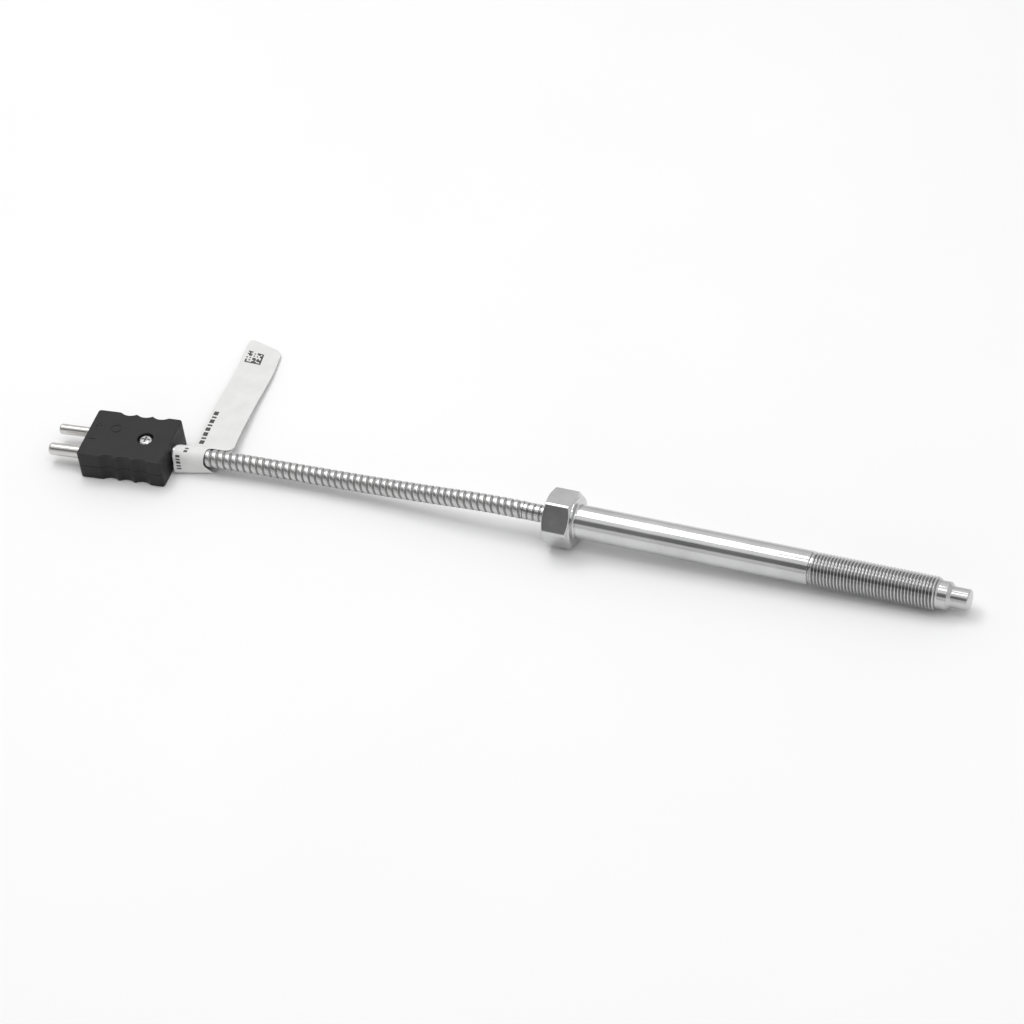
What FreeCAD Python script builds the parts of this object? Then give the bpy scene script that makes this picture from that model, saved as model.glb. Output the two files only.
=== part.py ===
import FreeCAD, Part
import math
import os
import Sketcher
from FreeCAD import Vector, Placement, Rotation

# Melt-bolt thermocouple probe with a flexible steel armoured lead and a two-pin plug.
#
# Row frame, millimetres: the origin is the centre of the head's bearing face, +X runs along the
# bolt towards the sensing tip, +Z is up. The part lies on a table that touches the head's lowest
# edge and the far end of the thread, so the table falls away by lie_angle towards -X.
# The plug has a frame of its own: X' runs from the contacts to the cable entry, Y' across,
# Z' up from its underside, which is flat on the table.

os.makedirs("parts", exist_ok=True)
doc = FreeCAD.newDocument("melt_bolt_thermocouple")

# ---------------------------------------------------------------- driving dimensions
sheet = doc.addObject("Spreadsheet::Sheet", "dims")
TABLE = [
    # bolt
    ("head_across_flats", 19.05, "3/4 in hexagon"),
    ("head_corner_rad", 10.75, "corners are turned to this radius"),
    ("head_length", 11.0, "bearing face to the cable side"),
    ("head_face_rad", 9.3, "cable side face inside its chamfer"),
    ("head_chamfer", 0.84, "axial length of the cable side chamfer"),
    ("washer_face_rad", 9.2, "raised bearing face"),
    ("washer_face_high", 0.5, "height of the bearing face"),
    ("washer_chamfer", 0.9, "axial length of the bearing side chamfer"),
    ("head_clocking", -8.7, "turn of the hexagon about the bolt, degrees"),
    ("shank_rad", 6.35, "1/2 in plain shank"),
    ("shank_length", 89.9, "bearing face to the first thread"),
    ("thread_rad", 6.3, "1/2-20 UNF major radius, class 2A"),
    ("thread_end", 137.2, "bearing face to the end of the full thread"),
    ("thread_chamfer", 1.2, "axial length of the lead-in"),
    ("thread_root_rad", 5.65, "bottom of the run-out groove, where the thread starts"),
    ("runout_long", 0.75, "the run-out groove along the bolt"),
    ("pilot_rad", 5.25, "10.5 mm pilot collar"),
    ("pilot_end", 141.8, "bearing face to the end of the pilot"),
    ("seat_end", 143.15, "end of the 45 degree sealing cone"),
    ("snout_rad", 3.9, "7.8 mm snout"),
    ("tip_at", 149.5, "bearing face to the tip"),
    ("tip_chamfer", 0.4, "edge break of the snout"),
    ("bolt_bore_rad", 1.68, "bore for the sheath"),
    ("sleeve_bore_rad", 3.05, "counterbore for the transition sleeve"),
    ("sleeve_bore_end", 10.0, "bottom of that counterbore"),
    ("ferrule_bore_rad", 3.35, "counterbore for the ferrule"),
    ("ferrule_seat", -5.0, "bottom of the ferrule counterbore"),
    ("spigot_rad", 3.0, "welded spigot of the nose"),
    ("spigot_bore_rad", 3.05, "its socket in the pilot"),
    ("spigot_from", 134.0, "start of the socket"),
    # sensing element
    ("sheath_rad", 1.5875, "1/8 in sheath"),
    ("sheath_in_rad", 1.2, "sheath bore"),
    ("sheath_from", 4.0, "cold end of the sheath"),
    ("sheath_to", 148.7, "welded end of the sheath"),
    ("fill_rad", 1.19, "compacted mineral"),
    ("fill_to", 146.4, "end of the mineral"),
    ("element_rad", 0.25, "element wires"),
    ("element_offset", 0.68, "each wire from the axis"),
    ("element_hole_rad", 0.26, "the mineral's two holes"),
    ("bead_rad", 1.15, "welded junction"),
    # cold end in the head
    ("trans_rad", 3.0, "transition sleeve"),
    ("trans_in_rad", 2.4, "its bore"),
    ("trans_from", -4.9, "its cable end"),
    ("trans_to", 9.8, "its tip end"),
    ("splice_rad", 0.78, "crimped splices"),
    ("splice_in_rad", 0.5, "their bores"),
    ("splice_mid", 0.5, "middle of the splices along the bolt"),
    ("splice_length", 4.0, "each splice"),
    ("splice_offset", 0.9, "each splice from the axis"),
    # ferrule and lead
    ("ferrule_rad", 3.3, "ferrule"),
    ("ferrule_in_rad", 2.55, "its bore"),
    ("ferrule_from", -21.1, "cable end of the ferrule"),
    ("crimp_depth", 0.22, "rolled crimps in the ferrule"),
    ("armour_rad", 3.4, "strip-wound armour"),
    ("armour_in_rad", 2.65, "its bore"),
    ("glass_rad", 2.45, "glass braid sleeve inside the armour"),
    ("glass_in_rad", 2.05, "its bore"),
    ("core_rad", 0.85, "insulated cores"),
    ("core_in_rad", 0.4, "bore of the insulation"),
    ("core_offset", 0.9, "each core from the middle of the lead"),
    ("core_from", -2.2, "start of the insulation"),
    ("conductor_rad", 0.36, "bare conductors"),
    # plug
    ("plug_length", 34.0, "body without the contacts"),
    ("plug_width", 25.0, "across the grips"),
    ("plug_high", 12.0, "both shells together"),
    ("plug_split", 0.1, "gap between the shells"),
    ("plug_corner", 1.2, "upright corners"),
    ("plug_edge", 0.7, "rounding of the top and bottom edges"),
    ("grip_first", -4.6, "first grip hollow along the plug"),
    ("grip_pitch", 6.4, "hollow to hollow"),
    ("grip_rad", 4.87, "radius of a hollow"),
    ("grip_out", 16.17, "its centre from the plug's middle plane"),
    ("plug_wall", 2.4, "floor and side walls"),
    ("cavity_front", -11.0, "wiring space, contact end"),
    ("cavity_rear", 10.2, "wiring space, cable end"),
    ("contact_pitch", 11.1, "contact to contact"),
    ("contact_pos_rad", 2.0, "positive contact"),
    ("contact_neg_rad", 2.4, "negative contact, wider so the plug goes in one way"),
    ("contact_reach", 14.4, "contact beyond the plug face"),
    ("contact_inner", -3.6, "inner end of the contacts"),
    ("contact_shoulder", -17.2, "behind this the contacts are smaller"),
    ("contact_step", 0.3, "by this much in radius"),
    ("contact_flat", -11.0, "start of the milled flat"),
    ("contact_flat_drop", 0.5, "flat below the contact's axis"),
    ("contact_collar_rad", 2.9, "locating collar on a contact"),
    ("collar_from", -15.2, "start of the collar"),
    ("collar_width", 1.2, "its width"),
    ("terminal_at", -7.2, "terminal screws along the plug"),
    ("terminal_rad", 1.2, "terminal screw thread"),
    ("terminal_head_rad", 2.1, "terminal screw head"),
    ("terminal_head_high", 1.3, "terminal screw head"),
    ("washer_rad", 2.4, "terminal washer"),
    ("washer_thick", 0.5, "terminal washer"),
    ("screw_at", 6.6, "cover screw along the plug"),
    ("screw_rad", 1.45, "cover screw thread, M3"),
    ("screw_hole_rad", 1.75, "its hole in the cover"),
    ("screw_head_rad", 2.85, "cover screw head"),
    ("screw_head_high", 1.55, "cover screw head"),
    ("screw_recess_rad", 3.15, "recess round the head"),
    ("screw_recess", 1.9, "depth of the recess"),
    ("screw_length", 8.3, "under the head"),
    ("boss_rad", 2.7, "posts round the screw"),
    ("insert_rad", 2.2, "threaded brass insert"),
    ("insert_bore_rad", 1.55, "its bore"),
    ("insert_length", 4.6, "its length"),
    ("entry_rad", 3.55, "cable entry in the rear wall"),
    ("bush_rad", 4.15, "rubber entry bush"),
    ("bush_in_rad", 3.4, "it grips the armour"),
    ("bush_seat_rad", 4.3, "its seat in the shells"),
    ("bush_from", 12.8, "inner end of the bush"),
    ("bush_to", 15.6, "outer end of the bush"),
    # where the plug lies
    ("lie_angle", 1.59, "table against the bolt's axis, degrees"),
    ("lie_drop", 10.16, "head centre above the table"),
    ("plug_along", -181.51, "plug centre along the table"),
    ("plug_across", -0.09, "plug centre across the table"),
    ("plug_yaw", 3.839, "turn of the plug on the table, degrees"),
    # marker label
    ("label_thick", 0.3, "two layers of film"),
    ("label_width", 15.2, "width of the flag"),
    ("label_end", 72.6, "far end of the flag across the table"),
]
V = {}
for i, (name, value, note) in enumerate(TABLE, start=1):
    sheet.set("A%d" % i, name)
    sheet.set("B%d" % i, repr(value))
    sheet.set("C%d" % i, note)
    sheet.setAlias("B%d" % i, name)
    V[name] = value
doc.recompute()


class Size:
    """A sum of sheet cells and plain millimetres, as a number and as an expression."""

    def __init__(self, *terms):
        self.value, words = 0.0, []
        for t in terms:
            if isinstance(t, str):
                times, name = (-1.0, t[1:]) if t.startswith("-") else (1.0, t)
                if "*" in name:
                    k, name = name.split("*")
                    times *= float(k)
                self.value += times * V[name]
                words.append("(%r)*dims.%s" % (times, name))
            else:
                self.value += float(t)
                words.append("(%r)" % float(t))
        self.text = " + ".join(words)


def S(*terms):
    return Size(*terms)


def size(x):
    return x if isinstance(x, Size) else Size(x)


def bind(obj, prop, *terms):
    obj.setExpression(prop, S(*terms).text)


# ---------------------------------------------------------------- PartDesign helpers
def new_body(name):
    body = doc.addObject("PartDesign::Body", name)
    body.Label = name
    return body


def plane(body, role):
    for f in body.Origin.OriginFeatures:
        if f.Role == role:
            return f
    raise RuntimeError(role)


def new_sketch(body, name, role="XY_Plane", offset=None):
    sk = body.newObject("Sketcher::SketchObject", name)
    sk.AttachmentSupport = [(plane(body, role), "")]
    sk.MapMode = "FlatFace"
    if offset is not None:
        sk.AttachmentOffset = Placement(Vector(0, 0, offset.value), Rotation())
        sk.setExpression("AttachmentOffset.Base.z", offset.text)
    return sk


def put(sk, geo, point, x, y):
    """Holds a point of the sketch at x, y."""
    for kind, value in (("DistanceX", x), ("DistanceY", y)):
        i = sk.addConstraint(Sketcher.Constraint(kind, geo, point, value.value))
        sk.setExpression("Constraints[%d]" % i, value.text)


def polygon(sk, points):
    points = [(size(x), size(y)) for x, y in points]
    n = len(points)
    first = sk.GeometryCount
    for i in range(n):
        a, b = points[i], points[(i + 1) % n]
        sk.addGeometry(Part.LineSegment(Vector(a[0].value, a[1].value, 0), Vector(b[0].value, b[1].value, 0)), False)
    for i in range(n):
        sk.addConstraint(Sketcher.Constraint("Coincident", first + i, 2, first + (i + 1) % n, 1))
        put(sk, first + i, 1, *points[i])


def circle(sk, x, y, r):
    x, y, r = size(x), size(y), size(r)
    g = sk.addGeometry(Part.Circle(Vector(x.value, y.value, 0), Vector(0, 0, 1), r.value), False)
    put(sk, g, 3, x, y)
    i = sk.addConstraint(Sketcher.Constraint("Radius", g, r.value))
    sk.setExpression("Constraints[%d]" % i, r.text)


def volume(body):
    doc.recompute()
    return body.Shape.Volume


def pad(body, sk, name, length, reverse=False):
    f = body.newObject("PartDesign::Pad", name)
    f.Profile = sk
    f.Length = size(length).value
    f.setExpression("Length", size(length).text)
    f.Reversed = reverse
    before = body.Shape.Volume if not body.Shape.isNull() else 0.0
    if volume(body) <= before:
        raise RuntimeError(name + " adds nothing")
    return f


def pocket(body, sk, name, length=None, reverse=False, both=False):
    """Cuts a sketch through, or to a length. The volume has to fall."""
    before = volume(body)
    f = body.newObject("PartDesign::Pocket", name)
    f.Profile = sk
    if length is None:
        f.Type = "ThroughAll"
    else:
        f.Length = size(length).value
        f.setExpression("Length", size(length).text)
    f.Reversed = reverse
    f.Midplane = both
    if not volume(body) < before - 1e-6:
        raise RuntimeError(name + " cuts nothing")
    return f


def turned(body, sk, name, kind="PartDesign::Revolution", axis="H_Axis"):
    before = body.Shape.Volume if not body.Shape.isNull() else 0.0
    f = body.newObject(kind, name)
    f.Profile = sk
    f.ReferenceAxis = (sk, [axis])
    f.Angle = 360.0
    after = volume(body)
    if kind.endswith("Groove") and not after < before - 1e-6:
        raise RuntimeError(name + " cuts nothing")
    if not kind.endswith("Groove") and not after > before + 1e-6:
        raise RuntimeError(name + " adds nothing")
    return f


def round_edges(body, base, name, wanted, radius, kind="PartDesign::Fillet"):
    doc.recompute()
    names = ["Edge%d" % (i + 1) for i, e in enumerate(base.Shape.Edges) if wanted(e)]
    if not names:
        raise RuntimeError(name + " finds no edge")
    f = body.newObject(kind, name)
    f.Base = (base, names)
    prop = "Radius" if kind.endswith("Fillet") else "Size"
    setattr(f, prop, size(radius).value)
    f.setExpression(prop, size(radius).text)
    doc.recompute()
    return f


PIECES = []


def piece(name, obj, placement=None):
    """Registers a finished sub-part under its node name."""
    obj.Label = name
    if placement is not None:
        obj.Placement = placement
    PIECES.append((name, obj))
    return obj


def tube(name, x0, x1, outer, inner=None):
    """A turned tube or rod along the bolt's axis."""
    body = new_body(name)
    sk = new_sketch(body, name + "_section", "XZ_Plane")
    lo = inner if inner is not None else 0.0
    polygon(sk, [(x0, lo), (x1, lo), (x1, outer), (x0, outer)])
    turned(body, sk, name + "_turned")
    return body


# ---------------------------------------------------------------- the bolt
bolt = new_body("probe_bolt")
sk = new_sketch(bolt, "bolt_profile", "XZ_Plane")
polygon(sk, [
    (S(-2.0), 0.0),
    (S("pilot_end"), 0.0),
    (S("pilot_end"), S("pilot_rad")),
    (S("thread_end", "thread_chamfer"), S("pilot_rad")),
    (S("thread_end"), S("thread_rad")),
    (S("shank_length", "runout_long"), S("thread_rad")),
    (S("shank_length", "runout_long", -0.25), S("thread_root_rad")),
    (S("shank_length", 0.25), S("thread_root_rad")),
    (S("shank_length"), S("shank_rad")),
    (S(-2.0), S("shank_rad")),
])
turned(bolt, sk, "shank")

# the hexagon, as six points at its sharp corners, which the next cut turns down
sk = new_sketch(bolt, "hexagon", "YZ_Plane")
corners = []
for k in range(6):
    a = math.radians(60.0 * k + V["head_clocking"])
    corners.append((S("%r*head_across_flats" % (math.cos(a) / math.sqrt(3.0))), S("%r*head_across_flats" % (math.sin(a) / math.sqrt(3.0)))))
polygon(sk, corners)
pad(bolt, sk, "head", S("head_length"), reverse=True)

big = 14.0
sk = new_sketch(bolt, "head_envelope", "XZ_Plane")
polygon(sk, [
    (S("-head_length", -1.0), S("head_face_rad")),
    (S("-head_length"), S("head_face_rad")),
    (S("-head_length", "head_chamfer"), S("head_corner_rad")),
    (S("-washer_face_high", "-washer_chamfer"), S("head_corner_rad")),
    (S("-washer_face_high"), S("washer_face_rad")),
    (0.0, S("washer_face_rad")),
    (1.0, S("washer_face_rad")),
    (1.0, big),
    (S("-head_length", -1.0), big),
])
turned(bolt, sk, "head_turning", "PartDesign::Groove")

sk = new_sketch(bolt, "bolt_bores", "XZ_Plane")
polygon(sk, [
    (S("-head_length", -1.0), 0.0),
    (S("pilot_end", 1.0), 0.0),
    (S("pilot_end", 1.0), S("spigot_bore_rad")),
    (S("spigot_from"), S("spigot_bore_rad")),
    (S("spigot_from"), S("bolt_bore_rad")),
    (S("sleeve_bore_end"), S("bolt_bore_rad")),
    (S("sleeve_bore_end"), S("sleeve_bore_rad")),
    (S("ferrule_seat"), S("sleeve_bore_rad")),
    (S("ferrule_seat"), S("ferrule_bore_rad")),
    (S("-head_length", -1.0), S("ferrule_bore_rad")),
])
turned(bolt, sk, "bores", "PartDesign::Groove")
piece("probe_bolt", bolt)

# the nose: sealing cone, snout and the spigot that is welded into the pilot
nose = new_body("sensing_nose")
sk = new_sketch(nose, "nose_profile", "XZ_Plane")
polygon(sk, [
    (S("spigot_from", 0.1), S("bolt_bore_rad")),
    (S("tip_at", -0.8), S("bolt_bore_rad")),
    (S("tip_at", -0.8), 0.0),
    (S("tip_at"), 0.0),
    (S("tip_at"), S("snout_rad", "-tip_chamfer")),
    (S("tip_at", "-tip_chamfer"), S("snout_rad")),
    (S("seat_end"), S("snout_rad")),
    (S("pilot_end"), S("pilot_rad")),
    (S("pilot_end"), S("spigot_rad")),
    (S("spigot_from", 0.1), S("spigot_rad")),
])
turned(nose, sk, "nose_turned")
piece("sensing_nose", nose)

# ---------------------------------------------------------------- sensing element
sheath = new_body("sheath_tube")
sk = new_sketch(sheath, "sheath_profile", "XZ_Plane")
polygon(sk, [
    (S("sheath_from"), S("sheath_in_rad")),
    (S("sheath_to", -0.5), S("sheath_in_rad")),
    (S("sheath_to", -0.5), 0.0),
    (S("sheath_to"), 0.0),
    (S("sheath_to"), S("sheath_rad")),
    (S("sheath_from"), S("sheath_rad")),
])
turned(sheath, sk, "sheath_turned")
piece("sheath_tube", sheath)

fill = new_body("mineral_fill")
sk = new_sketch(fill, "fill_section", "YZ_Plane", S("sheath_from"))
circle(sk, 0.0, 0.0, S("fill_rad"))
circle(sk, S("element_offset"), 0.0, S("element_hole_rad"))
circle(sk, S("-element_offset"), 0.0, S("element_hole_rad"))
pad(fill, sk, "fill_pressed", S("fill_to", "-sheath_from"))
piece("mineral_fill", fill)

for sign, word in ((1, "positive"), (-1, "negative")):
    w = doc.addObject("Part::Cylinder", "element_wire_" + word)
    bind(w, "Radius", "element_rad")
    bind(w, "Height", "fill_to", "-splice_mid", 0.3)
    w.Placement = Placement(Vector(V["splice_mid"] + 0.3, sign * V["element_offset"], 0), Rotation(Vector(0, 1, 0), 90))
    bind(w, "Placement.Base.x", "splice_mid", 0.3)
    bind(w, "Placement.Base.y", ("" if sign > 0 else "-") + "element_offset")
    piece("element_wire_" + word, w)

bead_ball = doc.addObject("Part::Sphere", "bead_ball")
bind(bead_ball, "Radius", "bead_rad")
bead_ball.Placement = Placement(Vector(V["fill_to"] + 0.6, 0, 0), Rotation())
bind(bead_ball, "Placement.Base.x", "fill_to", 0.6)
bead_box = doc.addObject("Part::Box", "bead_half")
bead_box.Length, bead_box.Width, bead_box.Height = 3, 4, 4
bead_box.Placement = Placement(Vector(V["fill_to"] + 0.6, -2, -2), Rotation())
bind(bead_box, "Placement.Base.x", "fill_to", 0.6)
bead = doc.addObject("Part::Common", "junction_bead")
bead.Base, bead.Tool = bead_ball, bead_box
piece("junction_bead", bead)

# ---------------------------------------------------------------- cold end inside the head
piece("transition_sleeve", tube("transition_sleeve", S("trans_from"), S("trans_to"), S("trans_rad"), S("trans_in_rad")))

# ---------------------------------------------------------------- lead route
LIE = math.radians(V["lie_angle"])
E1 = Vector(math.cos(LIE), 0, math.sin(LIE))
E2 = Vector(0, 1, 0)
E3 = Vector(-math.sin(LIE), 0, math.cos(LIE))
FOOT = Vector(0, 0, -V["lie_drop"])
turn = Rotation(Vector(0, 1, 0), -V["lie_angle"]).multiply(Rotation(Vector(0, 0, 1), V["plug_yaw"]))
PLUG = Placement(FOOT + E1 * V["plug_along"] + E2 * V["plug_across"], turn)


def at_plug(x, y, z):
    return PLUG.multVec(Vector(x, y, z))


half = V["plug_high"] / 2.0
# The lead leaves the ferrule along the bolt's axis, comes down to the plug's mid height in one
# long easy curve, bows a little to +Y, and goes straight into the plug.
ROUTE = [
    Vector(V["ferrule_from"], 0, 0),
    Vector(-36.0, 0.0, 0.0),
    Vector(-60.0, 1.2, -3.1),
    Vector(-90.0, 2.7, -6.3),
    Vector(-117.0, 3.2, -7.8),
    Vector(-144.0, 2.45, -8.17),
    at_plug(V["bush_from"], 0, half),
]
print("lead route, mm:", [tuple(round(c, 3) for c in p) for p in ROUTE])


def route_wire(points, label):
    """Straight runs joined by tangent arcs, each as large as its two runs allow."""
    runs = [(points[i + 1] - points[i]) for i in range(len(points) - 1)]
    print(label, "runs, mm:", [round(r.Length, 1) for r in runs])
    edges, here, radii = [], points[0], []
    for i in range(1, len(points) - 1):
        a, b = runs[i - 1], runs[i]
        u, w = Vector(a).normalize(), Vector(b).normalize()
        angle = u.getAngle(w)
        cut = 0.45 * min(a.Length, b.Length)
        radius = cut / math.tan(angle / 2.0)
        radii.append(round(radius, 1))
        p, q = points[i] - u * cut, points[i] + w * cut
        back = (w - u).normalize()
        mid = points[i] + back * (radius / math.cos(angle / 2.0) - radius)
        edges.append(Part.LineSegment(here, p).toShape())
        edges.append(Part.Arc(p, mid, q).toShape())
        here = q
    edges.append(Part.LineSegment(here, points[-1]).toShape())
    wire = Part.Wire(edges)
    print(label, "radii, mm:", radii, "length, mm:", round(wire.Length, 2))
    return wire


def swept(wire, radius):
    e = wire.Edges[0]
    start = e.valueAt(e.FirstParameter)
    d = e.tangentAt(e.FirstParameter)
    ring = Part.Wire([Part.Circle(start, d, radius).toShape()])
    return wire.makePipeShell([ring], True, True)


def along(name, wire, outer, inner=None):
    solid = swept(wire, V[outer])
    expect = math.pi * V[outer] ** 2
    if inner:
        solid = solid.cut(swept(wire, V[inner]))
        expect -= math.pi * V[inner] ** 2
    if len(solid.Solids) == 1:
        solid = solid.Solids[0]
    ratio = solid.Volume / (expect * wire.Length)
    print(name, "volume over section times length: %.4f" % ratio)
    if abs(ratio - 1) > 0.01:
        raise RuntimeError(name + " is not the size it should be")
    f = doc.addObject("Part::Feature", name)
    f.Shape = solid
    return piece(name, f)


lead = route_wire(ROUTE, "armour")
along("armour_hose", lead, "armour_rad", "armour_in_rad")
along("glass_sleeve", lead, "glass_rad", "glass_in_rad")

# ferrule with three rolled crimps
ferrule = new_body("ferrule")
sk = new_sketch(ferrule, "ferrule_profile", "XZ_Plane")
points = [
    (S("ferrule_from"), S("ferrule_in_rad")),
    (S("ferrule_seat", -0.05), S("ferrule_in_rad")),
    (S("ferrule_seat", -0.05), S("ferrule_rad")),
]
for k in (3.3, 5.7, 8.1):
    # each crimp is a shallow V with a flat bottom
    x = [S("-head_length", -k + d) for d in (0.45, 0.2, -0.2, -0.45)]
    points += [(x[0], S("ferrule_rad")), (x[1], S("ferrule_rad", "-crimp_depth")), (x[2], S("ferrule_rad", "-crimp_depth")), (x[3], S("ferrule_rad"))]
points += [(S("ferrule_from", 0.3), S("ferrule_rad")), (S("ferrule_from"), S("ferrule_rad", -0.3))]
polygon(sk, points)
turned(ferrule, sk, "ferrule_turned")
piece("ferrule", ferrule)

# Cores: side by side through the armour, one each side of the cover screw, then to the terminals.
for sign, word in ((1, "positive"), (-1, "negative")):
    off = sign * V["core_offset"]
    side = Vector(0, off, 0)
    in_plug = [at_plug(10.6, off, half), at_plug(7.9, sign * 4.3, half), at_plug(1.4, sign * 4.6, half)]
    stripped = at_plug(3.5, sign * (4.3 + 0.3 * 4.4 / 6.5), half)
    level = half - V["contact_flat_drop"] + V["conductor_rad"] + 0.01
    beside = sign * (0.5 * V["contact_pitch"] - V["terminal_rad"] - V["conductor_rad"] - 0.06)
    to_terminal = [at_plug(-3.4, beside, level), at_plug(-8.9, beside, level)]
    lane = [p + side for p in ROUTE[1:6]]
    wire = route_wire([Vector(V["splice_mid"] - 0.3, off, 0), Vector(-23.0, off, 0.0)] + [Vector(-37.0, off, -0.1)] + lane[1:] + in_plug + to_terminal, "conductor " + word)
    f = doc.addObject("Part::Feature", "conductor_" + word)
    f.Shape = swept(wire, V["conductor_rad"]).Solids[0]
    piece("conductor_" + word, f)
    wire = route_wire([Vector(V["core_from"], off, 0), Vector(-23.0, off, 0.0)] + [Vector(-37.0, off, -0.1)] + lane[1:] + in_plug[:2] + [stripped], "insulation " + word)
    f = doc.addObject("Part::Feature", "insulation_" + word)
    f.Shape = swept(wire, V["core_rad"]).cut(swept(wire, V["core_in_rad"])).Solids[0]
    piece("insulation_" + word, f)

# the splices share a node: two drawn tubes
pair = []
for sign, word in ((1, "positive"), (-1, "negative")):
    outer = doc.addObject("Part::Cylinder", "splice_outer_" + word)
    bind(outer, "Radius", "splice_rad")
    bind(outer, "Height", "splice_length")
    inner = doc.addObject("Part::Cylinder", "splice_inner_" + word)
    bind(inner, "Radius", "splice_in_rad")
    bind(inner, "Height", "splice_length")
    for c in (outer, inner):
        c.Placement = Placement(Vector(V["splice_mid"] - V["splice_length"] / 2, sign * V["splice_offset"], 0), Rotation(Vector(0, 1, 0), 90))
        bind(c, "Placement.Base.x", "splice_mid", "-0.5*splice_length")
        bind(c, "Placement.Base.y", ("" if sign > 0 else "-") + "splice_offset")
    one = doc.addObject("Part::Cut", "splice_" + word)
    one.Base, one.Tool = outer, inner
    pair.append(one)
both = doc.addObject("Part::Compound", "wire_splices")
both.Links = pair
piece("wire_splices", both)

# The potting fills the sleeve round the sheath, the splices and the cores.
blank = doc.addObject("Part::Cylinder", "potting_blank")
bind(blank, "Radius", "trans_in_rad", -0.02)
bind(blank, "Height", "trans_to", "-trans_from", -0.8)
blank.Placement = Placement(Vector(V["trans_from"] + 0.4, 0, 0), Rotation(Vector(0, 1, 0), 90))
bind(blank, "Placement.Base.x", "trans_from", 0.4)
voids = []


def void(name, radius, start, length, y):
    c = doc.addObject("Part::Cylinder", name)
    bind(c, "Radius", *radius)
    bind(c, "Height", *length)
    c.Placement = Placement(Vector(S(*start).value, S(*y).value, 0), Rotation(Vector(0, 1, 0), 90))
    bind(c, "Placement.Base.x", *start)
    bind(c, "Placement.Base.y", *y)
    voids.append(c)


void("void_sheath", ("sheath_rad", 0.01), ("sheath_from", -0.02), (8.0,), (0.0,))
for sign, word in (("", "positive"), ("-", "negative")):
    void("void_splice_" + word, ("splice_rad", 0.01), ("splice_mid", "-0.5*splice_length", -0.01), ("splice_length", 0.02), (sign + "splice_offset",))
    void("void_element_" + word, ("element_rad", 0.02), ("splice_mid",), (5.0,), (sign + "element_offset",))
    void("void_core_" + word, ("core_rad", 0.01), ("trans_from", -0.2), ("core_from", "-trans_from", 0.22), (sign + "core_offset",))
    void("void_conductor_" + word, ("conductor_rad", 0.02), ("core_from", -0.1), (2.0,), (sign + "core_offset",))
voided = doc.addObject("Part::MultiFuse", "potting_voids")
voided.Shapes = voids
potting = doc.addObject("Part::Cut", "potting")
potting.Base, potting.Tool = blank, voided
piece("potting", potting)

# ---------------------------------------------------------------- the plug's shells
def grips(body, offset):
    sk = new_sketch(body, body.Name + "_grip", "XY_Plane", offset)
    circle(sk, S("grip_first"), S("grip_out"), S("grip_rad"))
    circle(sk, S("grip_first"), S("-grip_out"), S("grip_rad"))
    cut = pocket(body, sk, body.Name + "_grip_cut", S("plug_high", 2.0), both=True)
    p = body.newObject("PartDesign::LinearPattern", body.Name + "_grips")
    p.Originals = [cut]
    p.Direction = (plane(body, "X_Axis"), [""])
    p.Length = 2 * V["grip_pitch"]
    p.setExpression("Length", "2*dims.grip_pitch")
    p.Occurrences = 3
    before = body.Shape.Volume
    body.Tip = p
    if not volume(body) < before - 1e-6:
        raise RuntimeError("the grip pattern cuts nothing")
    return p


def upright(e):
    a, b = e.Vertexes[0].Point, e.Vertexes[-1].Point
    return len(e.Vertexes) == 2 and abs(a.x - b.x) < 1e-6 and abs(a.y - b.y) < 1e-6 and abs(a.z - b.z) > 1


def at_height(z):
    return lambda e: all(abs(v.Point.z - z) < 1e-6 for v in e.Vertexes) and len(e.Vertexes) > 0


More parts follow.
